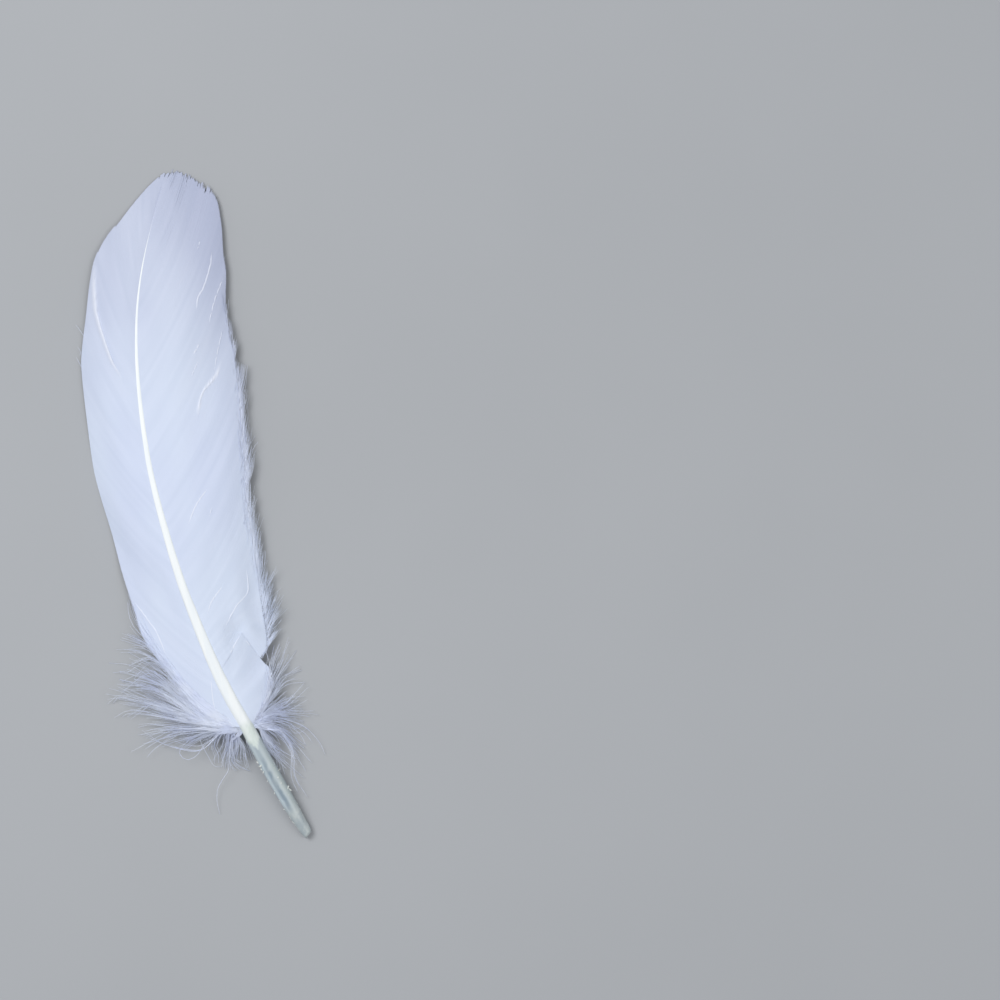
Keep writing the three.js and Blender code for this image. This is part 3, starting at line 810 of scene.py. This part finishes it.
RIGHT_STRANDS = [
    [5, (16.6, -48.7), (16.9, -45.0), (18.1, -41.8), (19.3, -38.9)],
    [6, (15.8, -51.0), (16.9, -46.9), (18.6, -42.5), (20.9, -38.6)],
    [6, (14.8, -52.7), (16.8, -48.7), (19.6, -44.3), (23.6, -37.4)],
    [6, (14.2, -53.4), (16.8, -50.0), (20.2, -45.6), (25.0, -41.4)],
    [8, (13.5, -54.9), (16.6, -51.5), (20.1, -47.8), (25.2, -46.6)],
    [8, (12.7, -55.4), (16.1, -52.9), (20.7, -49.8), (25.6, -50.0)],
    [5, (12.0, -57.8), (15.9, -56.7), (20.3, -55.0), (26.4, -51.4)],
    [7, (12.4, -56.4), (16.5, -54.6), (20.0, -53.6), (24.6, -53.6)],
    [7, (13.1, -56.7), (18.0, -55.8), (23.7, -56.9)],
    [7, (12.7, -57.3), (16.2, -56.7), (23.7, -58.2), (27.4, -59.4)],
    [6, (12.6, -57.9), (16.9, -57.9), (23.6, -60.3)],
    [4, (13.0, -57.3), (17.5, -58.2), (23.1, -61.5), (26.5, -66.8), (27.2, -70.2)],
    [4, (12.3, -57.8), (19.4, -59.8), (20.8, -62.0), (22.9, -61.3)],
    [8, (12.8, -58.5), (17.2, -61.3), (20.2, -65.3), (22.2, -67.7)],
    [7, (11.6, -58.9), (16.7, -62.4), (19.3, -68.2), (21.1, -73.5)],
    [3, (16.9, -61.2), (18.9, -65.3), (19.1, -68.5), (18.4, -74.6), (20.4, -80.4)],
    [6, (11.5, -59.5), (12.8, -65.1), (15.2, -68.4), (20.7, -75.2)],
    [7, (11.7, -59.3), (13.4, -63.3), (15.1, -67.7), (15.6, -73.3)],
    [8, (11.4, -59.2), (12.1, -61.9), (12.8, -64.6)],
]

# The height of the left vane's lower rim and of the lobe's, by y, which strands lie on at first.
LEFT_RIM = through([[-60, 5.5], [-52, 4.9], [-42, 3.8], [-33, 2.4]])
RIGHT_RIM = through([[-60, 5.3], [-54, 4.3], [-48, 3.3], [-38, 2.9]])

STRAND_STEPS = 22
STRAND_RADIUS = 0.09
STRAND_TIP_HEIGHTS = (0.25, 1.5)
STRAND_BARBULES = 5.0
BARBULES_REACH = 16.0
BARBULE_LENGTH = 1.0
BARBULE_RADIUS = 0.024
BARBULE_LEAN = (14, 38)
BARBULE_SIZES = (0.4, 1.0)
BARBULE_TIP_SIZE = 0.4
DOWN_LOWEST = 0.1

# Strands thicken from this share of their radius over their first part, thin to another share at their
# tip, and differ from one to the next.
STRAND_ROOT, STRAND_ROOT_WAY = 0.12, 0.15
STRAND_TIP = 0.45
STRAND_SIZES = (0.75, 1.15)

# Strands this near to a vane's points rest on it, a little above its hairs.
OVER_VANE = 0.45
STRAND_ON_SHEET = 1.5 * ON_SHEET

# Strands leave the shaft between these y: the ones that run up along a vane's rim first, and the ones
# that hang straight down last.
FOOT_FIRST, FOOT_LAST = -57.4, -61.0
RIM_WAY = 40.0

# A strand's turn is measured from TUFT_HEART. It starts this share of the shaft's width aside, lies this
# far above the rim at first, and droops from there, early in its way where the power is below 1.
TUFT_HEART = -58.5
FOOT_ASIDE = 0.35
ABOVE_RIM = 0.12
STRAND_DROOP_POWER = 0.8

# The ones that run along the rim bow outwards with it: by how much of their way to their free part, from
# least to most, and the bow's shape as [place along that way, share of the bow].
RIM_BOW = (0.04, 0.16)
RIM_PLACES = [(0.2, 0.8), (0.45, 1.0), (0.75, 0.55)]

# The thick of each tuft: fine barbs that fill the room between neighbouring strands, over the first part
# of their way. They lie a little lower.
FILL_TO_A_STRAND = 17
FILL_STEPS = 13
FILL_RADIUS = 0.08
FILL_SHARE = (0.35, 0.8)
FILL_ROOM = 2.0
FILL_LEAST_ROOM = 0.3
FILL_DROP = 0.5
FILL_SWAY, FILL_STRAY = 0.25, 0.9
FILL_BARBULES = 1.8

# In a bundle, strands are shorter by up to a share of their free part. They lie side by side along the
# rim, flare over their free part, wave with so many radians to a millimetre, and lie in uneven layers.
BUNDLE_SHORTER = 0.5
BUNDLE_HALF_WIDTH = 0.35
BUNDLE_FLARE, BUNDLE_FLARE_POWER = 0.1, 1.6
BUNDLE_WAVE, BUNDLE_WAVE_TURN = 0.15, 0.5
BUNDLE_LIFT, BUNDLE_LAYERS = 0.3, (-0.15, 0.1)
LARGE_BUNDLE = 5


def foot_at(turn, side):
    """Where a strand leaves the shaft, by how far it turns from the vane's rim, from 0 to 1."""
    y = lerp(FOOT_FIRST, FOOT_LAST, np.clip(turn, 0, 1))
    foot = shaft_point(y)
    foot[..., 0] += side * FOOT_ASIDE * shaft_width(y)
    return foot


def whole_line(points, side, rim, rim_bow, tip_height):
    """A strand's centre line in space, from the shaft along the vane's bowed rim to its tip."""
    points = np.array(points, float)
    first = points[0] - shaft_point(TUFT_HEART)[:2]
    lean = math.degrees(math.atan2(first[0] * side, first[1]))
    turn = min(max((lean - RIM_WAY) / (180 - RIM_WAY), 0), 1)
    foot = foot_at(turn, side)[:2]
    way = points[0] - foot
    outwards = np.array([way[1], -way[0]]) * side * rim_bow * (1 - turn) ** 2
    on_way = [foot + way * place + outwards * bow for place, bow in RIM_PLACES]
    flat = np.concatenate([[foot], on_way, points])
    steps = np.hypot(*np.diff(points, axis=0).T)
    gone = np.concatenate([[0], np.cumsum(steps)]) / steps.sum()
    on_rim = rim(flat[:len(on_way) + 2, 1]) + ABOVE_RIM
    free = lerp(on_rim[-1], tip_height, gone[1:] ** STRAND_DROOP_POWER)
    return np.concatenate([flat, np.concatenate([on_rim, free])[:, None]], axis=1), steps.sum()


def fill_between(rng, strands):
    """Fine barbs between neighbouring strands, more of them where these lie further apart."""
    half_way = strands[:, STRAND_STEPS // 2]
    apart = np.linalg.norm(np.diff(half_way, axis=0), axis=1)
    room = np.minimum(apart + FILL_LEAST_ROOM, FILL_ROOM)
    count = FILL_TO_A_STRAND * len(strands)
    pick = rng.choice(len(room), count, p=room / room.sum())
    whole = lerp(strands[pick], strands[pick + 1], rng.random((count, 1, 1)))
    share = np.linspace(0, 1, FILL_STEPS)[None]
    place = share * rng.uniform(*FILL_SHARE, (count, 1)) * (STRAND_STEPS - 1)
    before = np.minimum(place.astype(int), STRAND_STEPS - 2)
    row = np.arange(count)[:, None]
    paths = lerp(whole[row, before], whole[row, before + 1], (place - before)[..., None])
    across, _ = frames_along(paths)
    sway = rng.normal(0, FILL_SWAY, (count, 1)) * np.sin(share * 5 + rng.uniform(0, 6, (count, 1)))
    stray = rng.normal(0, FILL_STRAY, (count, 1)) * share**2
    paths = paths + across * (sway * share + stray)[..., None]
    paths[..., 2] -= FILL_DROP * rng.random((count, 1)) * smooth(0, 0.4, share)
    paths[..., 2] = np.maximum(paths[..., 2], DOWN_LOWEST)
    return paths


def bundle(rng, line, free, copies):
    """Strands around a centre line, of uneven length, which part and cross towards their tips."""
    at = curve_through(line)
    length = np.linalg.norm(np.diff(line, axis=0), axis=1).sum()
    shorter = np.concatenate([[0.0], rng.uniform(0, BUNDLE_SHORTER, copies - 1)])[:, None]
    short = 1 - shorter * free / length
    aside = np.concatenate([[0.0], rng.normal(0, 1, copies - 1)])[:, None]
    t = np.linspace(0, 1, STRAND_STEPS)[None] * short
    paths = at(t)
    ahead = unit(np.gradient(paths, axis=1) * [1, 1, 0])
    left = np.stack([-ahead[..., 1], ahead[..., 0], np.zeros(t.shape)], axis=-1)
    loose = np.clip(1 - (1 - t) * length / free, 0, 1)
    flare = BUNDLE_FLARE * free * loose**BUNDLE_FLARE_POWER
    offset = aside * (BUNDLE_HALF_WIDTH * smooth(0, 0.3, t) + flare)
    phase = rng.uniform(0, 2 * math.pi, (copies, 1))
    wave = np.sin(phase + t * length * BUNDLE_WAVE_TURN)
    offset = offset + wave * rng.normal(0, BUNDLE_WAVE, (copies, 1)) * t
    paths = paths + left * offset[..., None]
    lift = rng.normal(0, BUNDLE_LIFT, (copies, 1)) * t + rng.uniform(*BUNDLE_LAYERS, (copies, 1))
    paths[..., 2] = np.maximum(paths[..., 2] + lift, DOWN_LOWEST)
    return paths


def tuft(rng, guides, side, rim):
    """All strands of a tuft, and the first strand of each of its larger bundles."""
    bundles, middles = [], []
    for copies, *points in guides:
        line, free = whole_line(
            points, side, rim, rng.uniform(*RIM_BOW), rng.uniform(*STRAND_TIP_HEIGHTS))
        bundles.append(bundle(rng, line, free, copies))
        if copies >= LARGE_BUNDLE:
            middles.append(bundles[-1][0])
    return np.concatenate(bundles), np.array(middles)


def barbules(rng, paths, a_mm):
    """Short fine hairs along both sides of each strand's free part, which point forward."""
    steps = np.linalg.norm(np.diff(paths, axis=1), axis=-1)
    way = np.concatenate([np.zeros((len(paths), 1)), np.cumsum(steps, axis=1)], axis=1)
    starts, heads, shares = [], [], []
    for path, along in zip(paths, way):
        reach = min(along[-1] * 0.95, BARBULES_REACH)
        share = rng.uniform(0.0, 1.0, int(reach * a_mm))
        place = along[-1] - (1 - share) * reach
        ahead = np.gradient(path, axis=0)
        starts.append(np.stack([np.interp(place, along, path[:, k]) for k in range(3)], axis=-1))
        heads.append(np.stack([np.interp(place, along, ahead[:, k]) for k in range(3)], axis=-1))
        shares.append(share)
    start, ahead = np.concatenate(starts), unit(np.concatenate(heads))
    share = np.concatenate(shares)[:, None]
    count = len(start)
    side = unit(np.cross(ahead, unit(rng.normal(0, 1, (count, 3)) * [0.4, 0.4, 1.0])))
    angle = np.radians(rng.uniform(*BARBULE_LEAN, (count, 1)))
    way = ahead * np.cos(angle) + side * np.sin(angle)
    size = rng.uniform(*BARBULE_SIZES, (count, 1)) * lerp(1.0, BARBULE_TIP_SIZE, share)
    length = BARBULE_LENGTH * size
    tip = start + way * length
    tip[:, 2] = np.maximum(tip[:, 2], DOWN_LOWEST / 2)
    across = unit(np.cross(way, [0.0, 0.0, 1.0]))
    above = np.cross(across, way)
    corners = [start + (across * c + above * s) * BARBULE_RADIUS for c, s in ring_of(3)]
    vertices = np.stack(corners + [tip], axis=1).reshape(-1, 3)
    face = np.array([[0, 2, 1], [0, 1, 3], [1, 2, 3], [2, 0, 3]])
    return vertices, [(np.arange(count)[:, None, None] * 4 + face).reshape(-1, 3)]


def strand_tubes(rng, paths, radius):
    count, steps = paths.shape[:2]
    across, above = frames_along(paths)
    share = np.linspace(0, 1, steps)[None]
    root = np.clip(share / STRAND_ROOT_WAY, STRAND_ROOT, 1)
    half = radius * root * lerp(1.0, STRAND_TIP, share**1.5)
    half = half * rng.uniform(*STRAND_SIZES, (count, 1))
    return tubes(paths, across, above, half, half, ring_of(3))


def rest_on(sheet, paths):
    """Lifts strands that cross a vane so that they lie on it."""
    height, gap = sheet_under(sheet, paths)
    on_top = (gap < OVER_VANE) * smooth(0.05, 0.2, np.linspace(0, 1, paths.shape[1]))[None]
    lifted = np.maximum(paths[..., 2], height + STRAND_ON_SHEET)
    paths[..., 2] = lerp(paths[..., 2], lifted, on_top)
    return paths


def down_piece(name, seed, guides, side, rim, sheet):
    rng = np.random.default_rng(seed)
    strands, middles = tuft(rng, guides, side, rim)
    fill = rest_on(sheet, fill_between(rng, middles))
    strands = rest_on(sheet, strands)
    vertices, faces = joined(
        strand_tubes(rng, strands, STRAND_RADIUS), barbules(rng, strands, STRAND_BARBULES),
        strand_tubes(rng, fill, FILL_RADIUS), barbules(rng, fill, FILL_BARBULES))
    return make_mesh(name, vertices, faces, map_from_above(vertices))


# Single hairs off the edges, as points in space: three off the left edge, one off the upper part of the
# wide edge, one that closes the gap below the split, and one halfway up the wide edge.
STRAY_HAIRS = [
    [(-14.6, 50.0, 0.6), (-15.4, 52.6, 0.7), (-16.7, 55.4, 0.9)],
    [(-16.6, 42.0, 0.5), (-17.3, 43.9, 0.6), (-18.2, 46.8, 0.8)],
    [(-17.2, 47.0, 0.5), (-16.9, 48.2, 0.6), (-17.3, 49.6, 0.8)],
    [(22.4, 45.0, 2.4), (23.3, 49.5, 2.6), (24.2, 51.8, 2.8), (24.9, 54.4, 2.8)],
    [(17.2, -37.8, 2.7), (17.1, -40.5, 2.9), (17.3, -43.0, 3.1), (17.0, -45.6, 3.2)],
    [(19.0, 8.0, 3.0), (20.6, 11.5, 3.2), (22.3, 14.0, 3.3), (25.0, 17.2, 3.0)],
]
HAIR_RADIUS = 0.07


def stray_hairs():
    rng = np.random.default_rng(47)
    t = np.linspace(0, 1, STRAND_STEPS)
    paths = np.stack([curve_through(np.array(points))(t) for points in STRAY_HAIRS])
    vertices, faces = strand_tubes(rng, paths, HAIR_RADIUS)
    return make_mesh("stray_hairs", vertices, faces, map_from_above(vertices))


# --- Shaft --------------------------------------------------------------------------------------------

SHAFT_SIDES = 24
SHAFT_STEPS = 260
GROOVE_DEPTH = 0.2
GROOVE_HALF_ANGLE = 24.0
SQUARENESS = 4.6
RACHIS_DEPTH = 0.8
RACHIS_FROM, RACHIS_BY = QUILL_TOP - 2, QUILL_TOP + 14
CUT_SLANT, CUT_LENGTH = 0.5, 5.0
END_WEAR, END_WEAR_LENGTH = 0.12, 1.0
UNEVEN_WIDTH = 0.012


def shaft():
    """Quill and rachis in one: round and bare at first, then rather square, with a groove underneath."""
    rng = np.random.default_rng(5)
    y = lerp(QUILL_END, SHAFT_TIP, np.linspace(0, 1, SHAFT_STEPS))
    paths = shaft_point(y)[None]
    ring = ring_of(SHAFT_SIDES, math.pi / 2)
    worn = 1 - END_WEAR * (1 - smooth(0, END_WEAR_LENGTH, y - QUILL_END))
    width = shaft_width(y) / 2 * worn * (1 + UNEVEN_WIDTH * wander(rng, SHAFT_STEPS, 1, 60, 1)[:, 0])
    across, above = frames_along(paths)
    rachis = smooth(RACHIS_FROM, RACHIS_BY, y)[:, None]
    depth = width * lerp(1, RACHIS_DEPTH, rachis[:, 0])
    vertices, faces = tubes(paths, across, above, width[None], depth[None], ring)
    shape = (SHAFT_STEPS, SHAFT_SIDES)

    from_below = (np.degrees(np.arctan2(ring[:, 1], ring[:, 0])) + 90 + 180) % 360 - 180
    groove = 1 - GROOVE_DEPTH * rachis * np.exp(-((from_below / GROOVE_HALF_ANGLE) ** 2))[None]
    square = (np.abs(ring) ** SQUARENESS).sum(axis=1)[None] ** (-1 / SQUARENESS)
    centre = np.repeat(paths[0], SHAFT_SIDES, axis=0)
    vertices = centre + (vertices - centre) * (groove * lerp(1, square, rachis)).reshape(-1, 1)

    slant = CUT_SLANT * (1 + ring[None, :, 0]) * (1 - smooth(0, CUT_LENGTH, y - QUILL_END))[:, None]
    vertices[:, 1] += slant.ravel()
    values = {
        "along": np.broadcast_to(y[:, None], shape),
        "across": np.broadcast_to(ring[None, :, 0], shape),
    }
    return make_mesh("shaft", vertices, faces, None, True, values)


# Bits of skin on the quill that show, as [y, turn about the quill from its right side in degrees, size].
NAMED_FLAKES = [
    [-68.3, 165, 1.9], [-68.8, 140, 1.6], [-69.3, 172, 1.5], [-70.2, 170, 1.9], [-70.6, 150, 1.3],
    [-73.2, 170, 1.2], [-76.7, 175, 1.5], [-79.4, 172, 1.1], [-81.8, 172, 1.2], [-84.0, 170, 1.1],
    [-85.7, 170, 1.2], [-77.3, 12, 1.9], [-77.7, 4, 2.0], [-77.6, 20, 1.5], [-73.5, 60, 1.2],
    [-72.4, 8, 1.4],
]
LOOSE_FLAKES = 34
FLAKES = len(NAMED_FLAKES) + LOOSE_FLAKES

# The other ones lie between these y, this share of them on the quill's left side.
LOOSE_BETWEEN = (-87, -62)
LOOSE_ON_LEFT = 0.62
LOOSE_SIZES = (0.4, 1.0)
FLAKE_LENGTHS = (0.25, 0.45)
FLAKE_HALF_WIDTHS = (0.2, 0.3)
FLAKE_OUTLINE = np.array([1, 1.1, 0.9, 0.6, 0.15])
FLAKE_SUNK = 0.05


def quill_flakes():
    """Curled bits of dry skin that still cling to the bare quill."""
    rng = np.random.default_rng(31)
    named = np.array(NAMED_FLAKES)
    y = np.concatenate([named[:, 0], rng.uniform(*LOOSE_BETWEEN, LOOSE_FLAKES)])
    on_left = rng.random(LOOSE_FLAKES) < LOOSE_ON_LEFT
    loose_side = np.where(on_left, 180, 0) + rng.normal(0, 30, LOOSE_FLAKES)
    side = np.radians(np.concatenate([named[:, 1], loose_side]))
    size = np.concatenate([named[:, 2], rng.uniform(*LOOSE_SIZES, LOOSE_FLAKES)])[:, None]
    centre = shaft_point(y)
    ahead = unit(shaft_point(y + 0.5) - centre)
    across = unit(np.cross(ahead, [0.0, 0.0, 1.0]))
    above = np.cross(across, ahead)
    radius = shaft_width(y)[:, None] / 2
    out = across * np.cos(side)[:, None] + above * np.abs(np.sin(side))[:, None]
    start = centre + out * (radius - FLAKE_SUNK)
    length = rng.uniform(*FLAKE_LENGTHS, FLAKES)[:, None] * size
    lean = rng.normal(0, 0.9, FLAKES)[:, None]
    t = np.linspace(0, 1, len(FLAKE_OUTLINE))[None, :, None]
    way = unit(out * 0.25 + ahead * np.sin(lean + 1.2) * np.sign(lean))
    paths = start[:, None] + way[:, None] * length[:, None] * t
    paths = paths + out[:, None] * 0.1 * t**2 * length[:, None]
    tangent = unit(np.gradient(paths, axis=1))
    wide = unit(np.cross(tangent, out[:, None]))
    normal = np.cross(wide, tangent)
    half = rng.uniform(*FLAKE_HALF_WIDTHS, FLAKES)[:, None] * size * FLAKE_OUTLINE[None]
    thick = 0.04 + 0.14 * np.maximum(size - 0.8, 0) * np.ones(half.shape)
    return make_mesh("quill_flakes", *tubes(paths, wide, normal, half, thick, ring_of(6)))


# --- Materials ----------------------------------------------------------------------------------------

class Nodes:
    """A short way to write a material's node tree."""

    def __init__(self, name):
        self.material = bpy.data.materials.new(name)
        self.material.use_nodes = True
        self.tree = self.material.node_tree
        self.shader = self.tree.nodes["Principled BSDF"]

    def set(self, **values):
        for key, value in values.items():
            self.shader.inputs[key.replace("_", " ")].default_value = value

    def new(self, kind, **settings):
        node = self.tree.nodes.new(kind)
        for key, value in settings.items():
            setattr(node, key, value)
        return node

    def link(self, output, target):
        self.tree.links.new(output, target)

    def value(self, name):
        return self.new("ShaderNodeAttribute", attribute_name=name).outputs["Fac"]

    def noise(self, scale, detail, stretch=(1, 1, 1)):
        coordinates = self.new("ShaderNodeTexCoord").outputs["Object"]
        mapping = self.new("ShaderNodeMapping")
        mapping.inputs["Scale"].default_value = stretch
        noise = self.new("ShaderNodeTexNoise")
        noise.inputs["Scale"].default_value = scale
        noise.inputs["Detail"].default_value = detail
        self.link(coordinates, mapping.inputs["Vector"])
        self.link(mapping.outputs["Vector"], noise.inputs["Vector"])
        return noise.outputs["Fac"]

    def ramp(self, factor, stops):
        node = self.new("ShaderNodeValToRGB")
        elements = node.color_ramp.elements
        while len(elements) < len(stops):
            elements.new(0.5)
        for element, (position, colour) in zip(elements, stops):
            element.position = position
            element.color = (*colour, 1.0)
        self.link(factor, node.inputs["Fac"])
        return node.outputs["Color"]

    def mix(self, factor, first, second, blend="MIX"):
        node = self.new("ShaderNodeMix", data_type="RGBA", blend_type=blend)
        for socket, value in ((node.inputs[0], factor), (node.inputs[6], first), (node.inputs[7], second)):
            if isinstance(value, (int, float)):
                socket.default_value = value
            elif isinstance(value, tuple):
                socket.default_value = (*value, 1.0)
            else:
                self.link(value, socket)
        return node.outputs[2]

    def range(self, value, low, high, to_low=0.0, to_high=1.0):
        node = self.new("ShaderNodeMapRange", interpolation_type="SMOOTHSTEP")
        for key, number in (("From Min", low), ("From Max", high), ("To Min", to_low), ("To Max", to_high)):
            node.inputs[key].default_value = number
        self.link(value, node.inputs["Value"])
        return node.outputs["Result"]

    def math(self, operation, *operands):
        node = self.new("ShaderNodeMath", operation=operation)
        for socket, value in zip(node.inputs, operands):
            if isinstance(value, (int, float)):
                socket.default_value = value
            else:
                self.link(value, socket)
        return node.outputs[0]

    def spread(self, noise, size):
        """Noise from 0 to 1 as a shift of up to half the size either way."""
        return self.math("MULTIPLY_ADD", noise, size, -size / 2)

    def height(self, value, distance, strength):
        bump = self.new("ShaderNodeBump")
        bump.inputs["Distance"].default_value = distance
        bump.inputs["Strength"].default_value = strength
        self.link(value, bump.inputs["Height"])
        self.link(bump.outputs["Normal"], self.shader.inputs["Normal"])


def srgb(red, green, blue):
    """A colour as a screen shows it, 0 to 255, in the scene's own linear values."""
    def linear(c):
        c /= 255
        return c / 12.92 if c <= 0.04045 else ((c + 0.055) / 1.055) ** 2.4
    return tuple(linear(c) for c in (red, green, blue))


def vane_material():
    """White barbs, a little bluish, greyer towards the tip, with faint clouds and streaks and painted
    highlights.
    """
    m = Nodes("vane")
    place = m.new("ShaderNodeSeparateXYZ")
    m.link(m.new("ShaderNodeTexCoord").outputs["Object"], place.inputs[0])
    towards_tip = m.range(place.outputs["Y"], 10 * MM, 88 * MM)
    cloudy = m.noise(38.0, 2.0, (1, 0.5, 1))
    body = m.mix(m.range(cloudy, 0.3, 0.7), srgb(211, 220, 242), srgb(218, 228, 246))
    tip = m.mix(m.range(cloudy, 0.35, 0.65), srgb(190, 197, 219), srgb(201, 208, 228))
    colour = m.mix(towards_tip, body, tip)
    corner = m.math("MULTIPLY", towards_tip, m.range(place.outputs["X"], 8 * MM, 26 * MM))
    colour = m.mix(corner, colour, srgb(180, 187, 211))
    tone = m.ramp(m.value("barb_tone"), [(0.0, (0.94, 0.95, 0.96)), (1.0, (1.0, 1.0, 1.0))])
    colour = m.mix(1.0, colour, tone, "MULTIPLY")
    # Painted highlight: fold tops, slipped barbs and free barb ends are painted lighter, towards near white.
    colour = m.mix(m.math("MULTIPLY", m.value("crest"), 0.8), colour, srgb(238, 242, 253))
    m.link(colour, m.shader.inputs["Base Color"])
    m.set(Roughness=0.62, Sheen_Weight=0.1, Sheen_Roughness=0.4, Specular_IOR_Level=0.3)
    return m.material


def down_material():
    m = Nodes("down")
    tufts = m.noise(120.0, 2.0)
    colour = m.mix(m.range(tufts, 0.3, 0.7), srgb(224, 232, 254), srgb(233, 240, 255))
    m.link(colour, m.shader.inputs["Base Color"])
    m.set(Roughness=0.8, Sheen_Weight=0.1, Specular_IOR_Level=0.25)
    return m.material


# Where along the shaft its finish changes, in millimetres of y.
OPAQUE_FROM, OPAQUE_TO = QUILL_TOP, -63.6
HOLLOW_END = -84.0
HOLLOW_PALER = (-72.0, -66.0)


def shaft_material():
    """Cream-white horn, turning to clear grey-green horn around a bluish hollow below the barbs."""
    m = Nodes("shaft")
    along, across = m.value("along"), m.value("across")
    streaks = m.noise(300.0, 3.0, (3, 0.12, 3))
    blotch = m.noise(520.0, 4.0, (1, 0.5, 1))
    white = m.mix(m.range(streaks, 0.3, 0.7), srgb(238, 244, 248), srgb(245, 249, 250))
    # Painted shade: the rachis's right side, away from the key light, is tinted a darker blue-grey.
    rachis = m.mix(m.range(across, 0.6, 1.0, 0.0, 0.3), white, srgb(226, 235, 240))
    towards_tip = m.range(along, 66.0, 82.0)
    rachis = m.mix(towards_tip, rachis, srgb(204, 211, 230))

    around = m.math("ADD", m.math("MULTIPLY_ADD", across, 0.5, 0.5), m.spread(blotch, 0.3))
    wall = m.ramp(around, [
        (0.0, srgb(178, 194, 204)), (0.16, srgb(198, 213, 220)), (0.25, srgb(172, 187, 197)),
        (0.35, srgb(139, 154, 168)), (0.47, srgb(142, 158, 168)), (0.6, srgb(178, 190, 196)),
        (0.8, srgb(187, 198, 198)), (1.0, srgb(170, 184, 188)),
    ])
    ragged = m.math("ADD", along, m.spread(blotch, 9.0))
    paler = m.range(ragged, *HOLLOW_PALER)
    wall = m.mix(m.math("MULTIPLY", paler, 0.6), wall, srgb(184, 196, 202))
    solid = m.mix(m.range(blotch, 0.35, 0.65), srgb(168, 179, 184), srgb(192, 200, 200))
    horn = m.mix(m.range(ragged, HOLLOW_END, HOLLOW_END + 4.0), solid, wall)
    horn = m.mix(m.range(blotch, 0.5, 0.66, 0.0, 0.22), horn, srgb(202, 210, 210))
    tongue = m.math("MULTIPLY_ADD", m.math("ABSOLUTE", across), -2.2, 1.0)
    level = m.math("ADD", m.math("ADD", along, m.spread(blotch, 6.0)), tongue)
    pith = m.mix(m.range(blotch, 0.4, 0.6), srgb(212, 223, 219), srgb(229, 237, 234))
    quill = m.mix(m.range(level, OPAQUE_TO - 0.8, OPAQUE_TO + 0.6), horn, pith)
    colour = m.mix(m.range(along, OPAQUE_FROM - 1.5, OPAQUE_FROM + 1.0), quill, rachis)
    m.link(colour, m.shader.inputs["Base Color"])
    m.link(m.range(along, -62.0, -50.0, 0.28, 0.45), m.shader.inputs["Roughness"])
    m.height(m.math("ADD", streaks, blotch), 0.00015, 0.6)
    return m.material


def flake_material():
    m = Nodes("flakes")
    tint = m.noise(900.0, 2.0)
    m.link(m.mix(tint, srgb(205, 212, 206), srgb(236, 240, 238)), m.shader.inputs["Base Color"])
    m.set(Roughness=0.6)
    return m.material


# --- Stage, light and camera --------------------------------------------------------------------------

# The picture's own frame: how wide it is on the surface, where its middle lies, and how far the feather
# leans from upright in it.
FRAME_WIDTH = 266.64
FRAME_CENTRE = (86.0, -12.0)
FRAME_LEAN = 10.84
SUBJECT_HEIGHT = 5.0
LENS = 150.0
SENSOR = 36.0
FLOOR_HALF = 6000


def stage():
    """The pale floor that the feather lies on."""
    corners = FLOOR_HALF * np.array([[-1, -1, 0], [1, -1, 0], [1, 1, 0], [-1, 1, 0]])
    floor = make_mesh("floor", corners, [np.array([[0, 1, 2, 3]])])
    m = Nodes("floor")
    grain = m.noise(6.0, 4.0)
    m.link(m.mix(m.range(grain, 0.3, 0.7), srgb(172, 175, 179), srgb(175, 178, 182)),
           m.shader.inputs["Base Color"])
    m.set(Roughness=0.9, Specular_IOR_Level=0.1)
    floor.data.materials.append(m.material)


def area_light(name, place, size, power):
    """A round soft light that faces the middle of the feather."""
    light = bpy.data.lights.new(name, "AREA")
    light.shape = "DISK"
    light.size = size
    light.energy = power
    lamp = bpy.data.objects.new(name, light)
    lamp.location = place
    x, y, z = place
    lamp.rotation_euler = (math.atan2(math.hypot(x, y), z), 0, math.atan2(-y, -x) - math.pi / 2)
    bpy.context.scene.collection.objects.link(lamp)


def lights():
    """A key light, a fill light and a soft room around them."""
    area_light("key", (-0.38, 0.3, 0.82), 0.6, 5.2)
    area_light("fill", (0.7, -0.25, 0.9), 0.9, 3.0)
    world = bpy.data.worlds.new("soft_room")
    world.use_nodes = True
    background = world.node_tree.nodes["Background"].inputs
    background["Color"].default_value = (0.97, 0.98, 1.0, 1)
    background["Strength"].default_value = 0.42
    bpy.context.scene.world = world


def camera():
    data = bpy.data.cameras.new("camera")
    data.lens = LENS
    data.sensor_width = SENSOR
    data.clip_start = 0.01
    eye = bpy.data.objects.new("camera", data)
    distance = FRAME_WIDTH * LENS / SENSOR + SUBJECT_HEIGHT
    eye.location = (FRAME_CENTRE[0] * MM, FRAME_CENTRE[1] * MM, distance * MM)
    eye.rotation_euler = (0, 0, math.radians(-FRAME_LEAN))
    bpy.context.scene.collection.objects.link(eye)
    bpy.context.scene.camera = eye


# --- The feather --------------------------------------------------------------------------------------

camera()
stage()
lights()
bpy.context.scene.view_settings.view_transform = "Standard"

vane, down = vane_material(), down_material()
narrow, narrow_sheet = left_vane()
wide, wide_sheet = right_vane()
pieces = [
    (shaft(), shaft_material(), "shaft"),
    (quill_flakes(), flake_material(), "quill"),
    (narrow, vane, "vane"),
    (wide, vane, "vane"),
    (fringe(wide_sheet), vane, "vane"),
    (down_piece("down_left", 41, LEFT_STRANDS, -1, LEFT_RIM, narrow_sheet), down, "down"),
    (down_piece("down_right", 43, RIGHT_STRANDS, 1, RIGHT_RIM, wide_sheet), down, "down"),
    (stray_hairs(), down, "down"),
]
for piece, material, slot in pieces:
    piece.data.materials.append(material)
    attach(piece, "root")
    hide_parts("feather")
